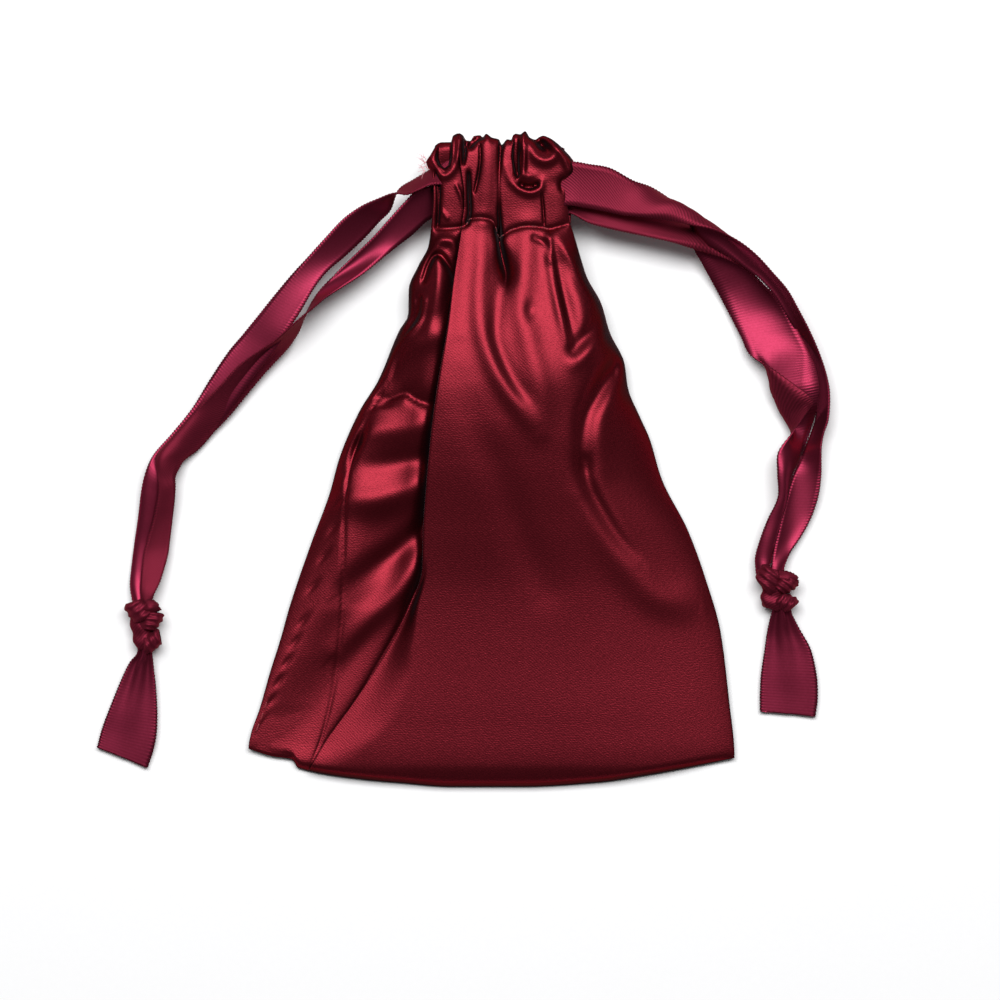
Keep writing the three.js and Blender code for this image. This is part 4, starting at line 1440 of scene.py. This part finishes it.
@dataclass
class PouchCloth:
    """The pouch's cloth: one strip folded at the bottom, seamed, and turned in at the mouth."""

    flat: Point2 = (0.103, 0.272)
    outline_left: Sequence[Point2] = (
        (-57.5, -45.0), (-53.0, -45.0), (-50.6, -44.6), (-46.0, -43.0), (-39.0, -41.0),
        (-33.0, -39.1), (-26.6, -37.3), (-14.9, -33.3), (-5.7, -29.9), (0.8, -28.1), (9.4, -24.4),
        (15.1, -20.9), (24.3, -17.0), (27.3, -15.3), (31.9, -15.2), (36.2, -13.4), (39.9, -11.5),
        (43.5, -11.0), (48.7, -10.6), (53.0, -10.8), (55.4, -12.0), (57.4, -10.9), (58.5, -10.0),
    )
    outline_right: Sequence[Point2] = (
        (-57.5, 45.0), (-54.7, 45.2), (-44.3, 44.2), (-31.5, 42.6), (-21.6, 39.8), (-12.6, 36.5),
        (-3.2, 31.7), (4.4, 29.4), (8.4, 27.6), (13.7, 25.4), (18.4, 24.7), (24.0, 22.0),
        (29.3, 20.4), (34.2, 17.7), (37.2, 16.7), (41.5, 15.4), (44.8, 14.4), (49.0, 13.8),
        (51.1, 13.3), (53.5, 15.3), (55.5, 15.4), (58.5, 13.0),
    )
    outline_bottom: Sequence[Point2] = (
        (-45.0, -53.0), (-40.6, -54.4), (-37.0, -55.0), (-35.8, -56.6), (-24.4, -58.7),
        (-16.9, -59.4), (-7.2, -60.1), (5.7, -60.1), (19.9, -59.3), (29.4, -57.9), (38.8, -56.1),
        (45.2, -54.7),
    )
    outline_top: Sequence[Point2] = (
        (-12.2, 55.6), (-10.9, 57.0), (-10.2, 58.1), (-9.1, 58.7), (-7.4, 58.7), (-7.0, 59.8),
        (-6.1, 60.2), (-5.2, 59.9), (-4.4, 58.9), (-3.9, 58.9), (-3.1, 59.8), (-2.0, 60.0),
        (-1.5, 59.6), (-0.9, 60.1), (0.2, 59.4), (1.5, 59.1), (2.0, 58.2), (3.0, 59.1),
        (3.7, 59.0), (4.1, 59.9), (4.6, 60.2), (5.4, 60.0), (6.3, 60.6), (7.2, 59.4), (8.1, 59.1),
        (8.9, 59.6), (9.6, 59.8), (10.7, 59.4), (12.0, 58.5), (13.7, 56.9), (15.2, 55.2),
        (15.7, 54.3),
    )
    crown: Sequence[Point2] = (
        (-60, 2.6), (-56, 4.0), (-48, 4.6), (-36, 5.4), (-24, 6.6), (-12, 8.9), (0, 11.5),
        (8, 12.8), (14, 13.1), (22, 12.4), (30, 11.1), (36, 9.9), (40, 9.3), (43.5, 9.0),
        (46, 9.2), (50, 9.6), (56, 9.9), (61, 9.4),
    )
    upper_edge: Sequence[Point2] = (
        (-60, 0.9), (-52, 1.5), (-20, 1.7), (1, 2.0), (15, 2.6), (27, 3.9), (36, 5.6), (41, 7.0),
        (43.5, 7.6), (46, 8.2), (50, 8.6), (56, 8.6), (61, 8.2),
    )
    lower_edge: Sequence[Point2] = (
        (-60, 0.4), (-52, 1.3), (-20, 1.5), (1, 1.8), (15, 2.4), (27, 3.7), (36, 5.3), (41, 6.0),
        (43.5, 5.8), (46, 4.2), (50, 3.2), (56, 3.2), (61, 4.0),
    )
    lower_middle: Sequence[Point2] = (
        (-60, 0.25), (36, 0.3), (41, 0.9), (43.5, 1.5), (46.5, 0.6), (52, 0.4), (61, 1.6),
    )
    lower_gathers: Sequence[Point2] = (
        (-44, 0.0), (-20, 1.1), (6, 2.4), (24, 3.0), (36, 3.1), (43.5, 2.2), (61, 1.9),
    )
    lap_route: Sequence[Point2] = (
        (-35.4, -60.7), (-34.4, -58.0), (-33.5, -56.7), (-30.7, -51.9), (-25.7, -45.0),
        (-19.6, -35.7), (-15.2, -27.4), (-12.4, -19.1), (-12.2, -12.6), (-11.5, -3.3),
        (-10.6, 5.9), (-9.3, 15.2), (-7.8, 24.4), (-6.7, 33.7), (-5.4, 42.6), (-4.8, 48.5),
        (-5.6, 55.0), (-5.9, 61.5),
    )
    lap_drop: Sequence[Point2] = (
        (-62, 0.4), (-56.7, 0.6), (-51.9, 1.4), (-45, 2.0), (-35.7, 2.6), (-27.4, 3.0), (-19, 3.4),
        (-12.6, 4.0), (-3.3, 4.0), (6, 3.8), (15, 3.2), (24.4, 2.2), (33.7, 1.0), (42.6, 0.4),
        (61, 0.4),
    )
    lap_gap: Sequence[Point2] = (
        (-62, 0.3), (-45, 0.6), (-36, 1.2), (-30, 2.0), (-22, 3.4), (-16, 3.6), (-8, 4.4),
        (0, 4.6), (8, 4.2), (15, 2.6), (24, 2.2), (33, 1.8), (40, 1.2), (43, 0.4), (61, 0.4),
    )
    lap_gap_width: float = 1.7
    lap_slope: Sequence[Point2] = (
        (-60, 7.0), (-55, 7.0), (-48, 8.0), (-40, 6.5), (-33, 3.5), (-25.5, 1.2), (-18, 0.6),
    )
    edge_round: float = 1.5
    mouth_drop: float = 1.2
    edge_folds: float = 0.12  # the share of a fold's height that is left at the side edges
    rows: int = 268
    left_columns: int = 70
    main_columns: int = 164
    crown_power: Sequence[Point2] = (
        (-60, 3.2), (-30, 2.6), (5, 2.6), (16, 3.8), (26, 7.0), (36, 9.0), (61, 9.0),
    )
    lower_rows: int = 110
    lower_columns: int = 72

    def sides(self, y: np.ndarray) -> tuple[np.ndarray, np.ndarray]:
        """Read the left and right edges at y."""
        left = read(self.outline_left, y)
        right = read(self.outline_right, y)
        return left, right

    def lap_x(self, y: np.ndarray) -> np.ndarray:
        """Read where the long lap's lip lies at y."""
        x, knots = zip(*self.lap_route)
        return eased(knots, x, y)

    def lap_gentle(self, y: np.ndarray) -> np.ndarray:
        """Read how far the lap has opened into a slope at y, from 0 to 1."""
        return 1 - ramp(y, -28.0, -17.5)

    def lap_step(self, y: np.ndarray) -> np.ndarray:
        """Read the height of the lap's lip over the cloth beside it."""
        drop = read(self.lap_drop, y)
        gentle = self.lap_gentle(y)
        return drop * (1 - gentle) + np.minimum(drop, 0.55) * gentle

    def share(self, x: np.ndarray, y: np.ndarray) -> np.ndarray:
        """Read how far across the pouch a point lies, from 0 to 1."""
        left, right = self.sides(y)
        return np.clip((x - left) / (right - left), 0, 1)

    def folded(self, x: np.ndarray, y: np.ndarray, main: np.ndarray) -> np.ndarray:
        """Read how far the folds lift the upper cloth.

        Args:
            x: The points' x.
            y: The points' y.
            main: Whether each point lies right of the long lap.

        Returns:
            The lift of each point.
        """
        total = np.zeros(x.shape)
        for fold in FOLDS:
            on = {Panel.WHOLE: None, Panel.MAIN: main, Panel.LEFT: ~main}[fold.panel]
            lift = fold.lift(x, y)
            total += lift if on is None else np.where(on, lift, 0)
        return total

    def lapped(self, x: np.ndarray, y: np.ndarray, main: np.ndarray) -> np.ndarray:
        """Read how far the long lap lets the upper cloth down, on it and beside it.

        Args:
            x: The points' x.
            y: The points' y.
            main: Whether each point lies right of the long lap.

        Returns:
            The drop of each point.
        """
        lean = self.lap_x(y + 0.5) - self.lap_x(y - 0.5)
        distance = (x - self.lap_x(y)) / np.sqrt(1 + lean**2)
        drop = read(self.lap_drop, y)
        rise = read(self.lap_slope, y)
        sunk = (drop - self.lap_step(y)) * (1 - ramp(distance / rise, 0, 1))
        beside = drop * (1 - ramp(-distance, 4.0, 16.0))
        gap = read(self.lap_gap, y)
        beside += gap * np.exp(-SHARP_FALL * np.abs(distance) / self.lap_gap_width)
        return np.where(main, sunk, beside)

    def upper(self, x: np.ndarray, y: np.ndarray, main: np.ndarray) -> np.ndarray:
        """Read the upper cloth's height.

        Args:
            x: The points' x.
            y: The points' y.
            main: Whether each point lies right of the long lap.

        Returns:
            The height of each point.
        """
        shape = x.shape
        x, y, main = x.ravel(), y.ravel(), main.ravel()
        left, right = self.sides(y)
        power = read(self.crown_power, y)
        side = (1 - np.abs(2 * self.share(x, y) - 1) ** power) ** 0.8
        rim = rounded(y - read(self.outline_bottom, x), self.edge_round)
        hem = rounded(read(self.outline_top, x) - y, self.edge_round)
        edge = read(self.upper_edge, y)
        body = (read(self.crown, y) - edge) * side * rim
        folds = self.folded(x, y, main) - self.lapped(x, y, main)
        near = np.minimum(x - left, right - x)
        freed = ramp(near, 0, 2.4 - 1.5 * ramp(y, 40, 45))
        folds *= (self.edge_folds + (1 - self.edge_folds) * freed) * ramp(rim, 0.1, 0.9)
        height = edge + body + folds - self.mouth_drop * (1 - hem)
        floor = self.lower(x, y) + 0.5 + 0.6 * ramp(near, 0, 3)
        return np.maximum(height, np.minimum(floor, edge)).reshape(shape)

    def lower(self, x: np.ndarray, y: np.ndarray) -> np.ndarray:
        """Read the lower cloth's height, which rests on the surface and rises to the seams."""
        share = self.share(x, y)
        middle = read(self.lower_middle, y)
        edge = read(self.lower_edge, y)
        gathers = read(self.lower_gathers, y)
        wave = 0.5 - 0.5 * np.cos(TAU * BACK_GATHERS * (share + 0.012 * np.sin(0.13 * y)))
        inner = 1 - np.abs(2 * share - 1) ** 6
        return middle + (edge - middle) * (1 - inner) + gathers * wave * inner**2

    def settle(self, level: np.ndarray, x: np.ndarray) -> np.ndarray:
        """Move the rows to the curved bottom and the scalloped top.

        Args:
            level: The rows' own y, in one column.
            x: The grid's x.

        Returns:
            The grid's y.
        """
        low_shift = read(self.outline_bottom, x) - BOTTOM_LEVEL
        high_shift = read(self.outline_top, x) - TOP_LEVEL
        low_share = 1 - ramp(level, BOTTOM_LEVEL, BOTTOM_REACH)
        return level + low_shift * low_share + high_shift * ramp(level, TOP_REACH, TOP_LEVEL)

    def build_upper(self, builder: MeshBuilder) -> None:
        """Make the upper cloth, with its lap, its turned edges and its side of the casing.

        Args:
            builder: Where the grid goes.
        """
        low = np.linspace(BOTTOM_LEVEL, NECK_LEVEL, int(self.rows * 0.7), endpoint=False)
        high = np.linspace(NECK_LEVEL, TOP_LEVEL, self.rows - len(low))
        level = np.concatenate([low, high])[:, None]
        left, right = self.sides(level)
        lap = self.lap_x(level)
        left_u = softened(self.left_columns)
        main_u = softened(self.main_columns)
        y_left = self.settle(level, left + (lap - left) * left_u)
        for _ in range(2):
            edge_left, _right = self.sides(y_left)
            x_left = edge_left + (self.lap_x(y_left) - edge_left) * left_u
            y_left = self.settle(level, x_left)
        y_main = self.settle(level, lap + (right - lap) * main_u)
        for _ in range(2):
            _left, edge_right = self.sides(y_main)
            lip = self.lap_x(y_main)
            x_main = lip + (edge_right - lip) * main_u
            y_main = self.settle(level, x_main)
        y_lap = y_main[:, :1]
        x_lap = x_main[:, :1]
        step = self.lap_step(y_lap)
        tuck = np.minimum(7.0, 2.1 * step) * (1 - 0.8 * ramp(y_lap, 41, 44))
        small = np.clip(0.3 * step, 0.06, 1.0)
        no = np.zeros_like
        z_left = self.upper(x_left, y_left, no(x_left, bool))
        z_main = self.upper(x_main, y_main, ~no(x_main, bool))
        lip_z = z_main[:, :1]
        hidden = np.linspace(0, 1, 7)[None, 1:]
        x_under = x_lap + tuck * hidden
        y_under = y_lap + 0 * hidden
        z_under = np.minimum(
            self.upper(x_under, y_under, no(x_under, bool)), lip_z - 0.8 * step
        )
        z_deep = z_under[:, -1:]
        back_share = np.array([[0.8, 0.6, 0.4, 0.2, 0.06]])
        x_back = x_lap + tuck * back_share
        cover = self.upper(x_back, y_lap + 0 * x_back, ~no(x_back, bool))
        z_back = z_deep + 0.9 * small + (lip_z - z_deep - 1.6 * small) * (1 - back_share)
        z_back = np.minimum(z_back, cover - 0.55 * small)
        turn_x = np.hstack([x_lap + tuck + 0.35 * small, x_lap + tuck])
        turn_z = np.hstack([z_deep + 0.4 * small, z_deep + 0.85 * small])
        lip_x = np.hstack([x_lap - 0.32 * small, x_lap - 0.24 * small])
        lip_zs = np.hstack([lip_z - 0.55 * small, lip_z - 0.2 * small])
        columns_x = [x_left, x_under, turn_x, x_back, lip_x, x_main]
        columns_z = [z_left, z_under, turn_z, z_back, lip_zs, z_main]
        folded = sum(part.shape[1] for part in columns_x[1:5])
        x = np.hstack(columns_x)
        z = np.hstack(columns_z)
        y = np.hstack([y_left, np.repeat(y_lap, folded, axis=1), y_main])
        x, y, z = self.turn_edges(x, y, z)
        x, y, z = self.close_bottom(x, y, z)
        wave = 0.35 * np.cos(TAU * x[-1:] / 3.7) + 0.2 * np.cos(TAU * x[-1:] / 2.3 + 1)
        x, y, z = self.turn_casing(x, y, z, 6.3 + wave, -1)
        builder.grid(np.stack([x, y, z], -1), np.stack([x, y], -1))

    def turn_edges(
        self, x: np.ndarray, y: np.ndarray, z: np.ndarray
    ) -> tuple[np.ndarray, np.ndarray, np.ndarray]:
        """Turn the seam allowances in at both sides.

        Args:
            x: The grid's x.
            y: The grid's y.
            z: The grid's height.

        Returns:
            The wider grid.
        """
        reach = SEAM_TURN * (1 - 0.85 * ramp(y[:, :1], 38, 44))
        under = 0.06 + 0.05 * SEAM_TURN
        left = (x[:, :1] + reach[:, ::-1], z[:, :1] - under[:, ::-1])
        right = (x[:, -1:] - reach, z[:, -1:] - under)
        left_y = np.repeat(y[:, :1], SEAM_TURN.size, axis=1)
        right_y = np.repeat(y[:, -1:], SEAM_TURN.size, axis=1)
        return (
            np.hstack([left[0], x, right[0]]),
            np.hstack([left_y, y, right_y]),
            np.hstack([left[1], z, right[1]]),
        )

    def close_bottom(
        self, x: np.ndarray, y: np.ndarray, z: np.ndarray
    ) -> tuple[np.ndarray, np.ndarray, np.ndarray]:
        """Turn the bottom fold under, down to the lower cloth.

        Args:
            x: The grid's x.
            y: The grid's y.
            z: The grid's height.

        Returns:
            The longer grid.
        """
        base = self.lower(x[:1], y[:1])
        rows = [(base, 0.0), (0.5 * (base + z[:1]), -0.24)]
        return (
            np.vstack([x[:1], x[:1], x]),
            np.vstack([*(y[:1] + shift for _z, shift in rows), y]),
            np.vstack([*(level for level, _shift in rows), z]),
        )

    def turn_casing(
        self, x: np.ndarray, y: np.ndarray, z: np.ndarray, level: np.ndarray, way: int
    ) -> tuple[np.ndarray, np.ndarray, np.ndarray]:
        """Turn the mouth's edge in, and down inside to the casing's stitching.

        Args:
            x: The grid's x.
            y: The grid's y.
            z: The grid's height.
            level: The height that the turned-in cloth reaches inside.
            way: 1 where the edge turns up, or -1 where it turns down.

        Returns:
            The longer grid.
        """
        top_x, top_y, top_z = x[-1:], y[-1:], z[-1:]
        inside = np.linspace(0.08, 1, 9)[:, None]
        depth = top_y - inside * (top_y - CASING_FOOT)
        start = top_z + way * MOUTH_ROLL[-1][1]
        inner = start + (level - start) * ramp(inside, 0, 0.3)
        added = len(MOUTH_ROLL) + len(inside)
        return (
            np.vstack([x, np.repeat(top_x, added, axis=0)]),
            np.vstack([y, *(top_y + out for out, _over in MOUTH_ROLL), depth]),
            np.vstack([z, *(top_z + way * over for _out, over in MOUTH_ROLL), inner]),
        )

    def build_lower(self, builder: MeshBuilder) -> None:
        """Make the lower cloth, with its gathers, its turned edges and its casing.

        Args:
            builder: Where the grid goes.
        """
        level = np.linspace(BOTTOM_LEVEL, TOP_LEVEL, self.lower_rows)[:, None]
        u = np.linspace(0, 1, self.lower_columns)[None, :]
        y = level + 0 * u
        for _ in range(3):
            left, right = self.sides(y)
            x = left + (right - left) * u
            low_shift = read(self.outline_bottom, x) - BOTTOM_LEVEL
            high_shift = 0.5 * (read(self.outline_top, x) - TOP_LEVEL)
            y = level + low_shift * (1 - ramp(level, BOTTOM_LEVEL, BOTTOM_REACH))
            y = y + high_shift * ramp(level, TOP_REACH, TOP_LEVEL)
        x, y, z = self.turn_edges(x, y, self.lower(x, y))
        inner = 5.3 + 0.3 * np.cos(TAU * x[-1:] / 3.1)
        inner = np.maximum(inner, z[-1:] + MOUTH_ROLL[-1][1])
        x, y, z = self.turn_casing(x, y, z, inner, 1)
        builder.grid(np.stack([x, y, z], -1), np.stack([x, -y], -1))

    def build(self, finish: bpy.types.Material) -> bpy.types.Object:
        """Args:
            finish: The cloth's material.

        Returns:
            The cloth's object.
        """
        builder = MeshBuilder()
        self.build_upper(builder)
        self.build_lower(builder)
        cloth = builder.make("pouch_satin")
        cloth.data.materials.append(finish)
        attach(cloth, BODY)
        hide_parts("pouch_cloth")
        return cloth


# ------------------------------------------------------------------------ stitching


@dataclass
class Stitching:
    """Sewing thread: the rows that close the casing, and the two side seams."""

    cloth: PouchCloth
    radius: float = 0.13
    stitch: float = 1.7
    gap: float = 0.5
    sides: int = 8

    def run(self, builder: MeshBuilder, path: np.ndarray) -> None:
        """Sew a row of stitches along a path.

        Args:
            builder: Where the stitches go.
            path: The path's points.
        """
        steps = np.linalg.norm(np.diff(path, axis=0), axis=1)
        lengths = np.concatenate([[0], np.cumsum(steps)])
        start = 0.0
        around = np.linspace(0, TAU, self.sides + 1)[:-1] * self.radius
        while start + self.stitch < lengths[-1]:
            at = np.linspace(start, start + self.stitch, 9)
            spine = np.stack([np.interp(at, lengths, path[:, i]) for i in range(3)], -1)
            ends = np.linspace(-1, 1, 9)
            spine[:, 2] -= 0.22 * ends**8
            thick = self.radius * (1 - 0.6 * ends**6)
            way = spine[-1] - spine[0]
            way /= np.linalg.norm(way)
            flat = np.stack(np.meshgrid(around, at), -1)
            builder.thread(spine, way, thick, self.sides, flat)
            start += self.stitch + self.gap

    def row(self, name: str, path: np.ndarray, finish: bpy.types.Material) -> bpy.types.Object:
        """Make one row of stitches as a piece.

        Args:
            name: The piece's name, which is its CAD node's with an ending.
            path: The path's points.
            finish: The thread's material.

        Returns:
            The row's object.
        """
        builder = MeshBuilder()
        self.run(builder, path)
        piece = builder.make(f"{name}_stitches")
        piece.data.materials.append(finish)
        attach(piece, BODY)
        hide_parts(name)
        return piece

    def build(self, finish: bpy.types.Material) -> list[bpy.types.Object]:
        """Sew every row.

        Args:
            finish: The thread's material.

        Returns:
            The rows.
        """
        knots = np.array(STITCH_ROUTE, float)[1:-1]
        front = catmull(knots, np.linspace(0, len(knots) - 1, 90))
        on_main = front[:, 0] > self.cloth.lap_x(front[:, 1])
        front_z = self.cloth.upper(front[:, 0], front[:, 1], on_main) + 0.04
        back_x = np.linspace(-9.8, 13.0, 60)
        back_y = np.full(60, 43.6)
        back_z = self.cloth.lower(back_x, back_y) - 0.05
        rows = [
            self.row("casing_thread_front", np.column_stack([front, front_z]), finish),
            self.row(
                "casing_thread_back", np.column_stack([back_x, back_y, back_z]), finish
            ),
        ]
        seam_y = np.linspace(-50, 36, 120)
        left, right = self.cloth.sides(seam_y)
        seam_z = read(self.cloth.upper_edge, seam_y) + 0.1
        for side, x in (("left", left + 0.9), ("right", right - 0.9)):
            path = np.column_stack([x, seam_y, seam_z])
            rows.append(self.row(f"{side}_seam_thread", path, finish))
        return rows


@dataclass
class FrayedYarns:
    """Loose yarns that stand out of the raw edge at the casing's left end."""

    root: Point3 = (-12.2, 54.6, 9.0)
    count: int = 16
    radius: float = 0.055
    sides: int = 5

    def build(self, finish: bpy.types.Material) -> bpy.types.Object:
        """Make the yarns.

        Args:
            finish: The yarns' material.

        Returns:
            The yarns' object.
        """
        rng = np.random.default_rng(11)
        builder = MeshBuilder()
        for _ in range(self.count):
            angle = math.radians(rng.uniform(120, 235))
            length = rng.uniform(0.9, 2.3)
            curl = rng.uniform(-1.2, 1.2)
            start = np.array(self.root) + rng.uniform((0, -1.3, -0.5), (0.6, 1.5, 0.3))
            t = np.linspace(0, 1, 8)
            heading = angle + curl * t
            step = length / 7
            x = start[0] + np.concatenate([[0], np.cumsum(np.cos(heading[1:]) * step)])
            y = start[1] + np.concatenate([[0], np.cumsum(np.sin(heading[1:]) * step)])
            z = start[2] + rng.uniform(-0.6, 0.6) * t
            spine = np.column_stack([x, y, z])
            way = np.gradient(spine, axis=0)
            way /= np.linalg.norm(way, axis=1, keepdims=True)
            thick = self.radius * (1 - 0.6 * t)
            flat = np.broadcast_to(t[:, None, None] * length, (len(t), self.sides, 2))
            builder.thread(spine, way, thick, self.sides, flat)
        piece = builder.make("frayed_yarns")
        piece.data.materials.append(finish)
        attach(piece, BODY)
        return piece


# ------------------------------------------------------------------------ the whole pouch


def ribbons() -> list[DrawRibbon]:
    """Give the two draw ribbons with their sizes."""
    return [
        DrawRibbon(
            "left",
            LEFT_FRONT,
            LEFT_BACK,
            LEFT_HIDDEN,
            LEFT_END,
            front_length=0.109,
            back_length=0.106,
            exits=((-11.0, 52.4, 8.2), (-10.9, 48.6, 5.0)),
        ),
        DrawRibbon(
            "right",
            RIGHT_FRONT,
            RIGHT_BACK,
            RIGHT_HIDDEN,
            RIGHT_END,
            front_length=0.111,
            back_length=0.105,
            exits=((14.3, 51.1, 8.6), (14.1, 47.2, 6.0)),
        ),
    ]


def write_sizes() -> None:
    """Bring the scene's placements up to date."""
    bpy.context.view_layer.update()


def main() -> None:
    """Build the studio and the pouch."""
    logging.basicConfig(level=logging.INFO, format="%(name)s: %(message)s")
    Studio().build()
    ribbon_finish = RibbonSatin().make()
    pieces = [piece for ribbon in ribbons() for piece in ribbon.build(ribbon_finish)]
    cloth = PouchCloth()
    pieces.append(cloth.build(SatinCloth().make()))
    thread = ThreadFinish("crimson_thread", (0.30, 0.008, 0.022, 1), (0.16, 0.003, 0.01, 1))
    pieces += Stitching(cloth).build(thread.make())
    yarn = ThreadFinish("loose_yarn", (0.85, 0.42, 0.47, 1), (0.72, 0.25, 0.30, 1), 0.6)
    pieces.append(FrayedYarns().build(yarn.make()))
    for piece in pieces:
        LOG.info("%s: %d faces", piece.name, len(piece.data.polygons))
    write_sizes()


if __name__ == "__main__":
    main()
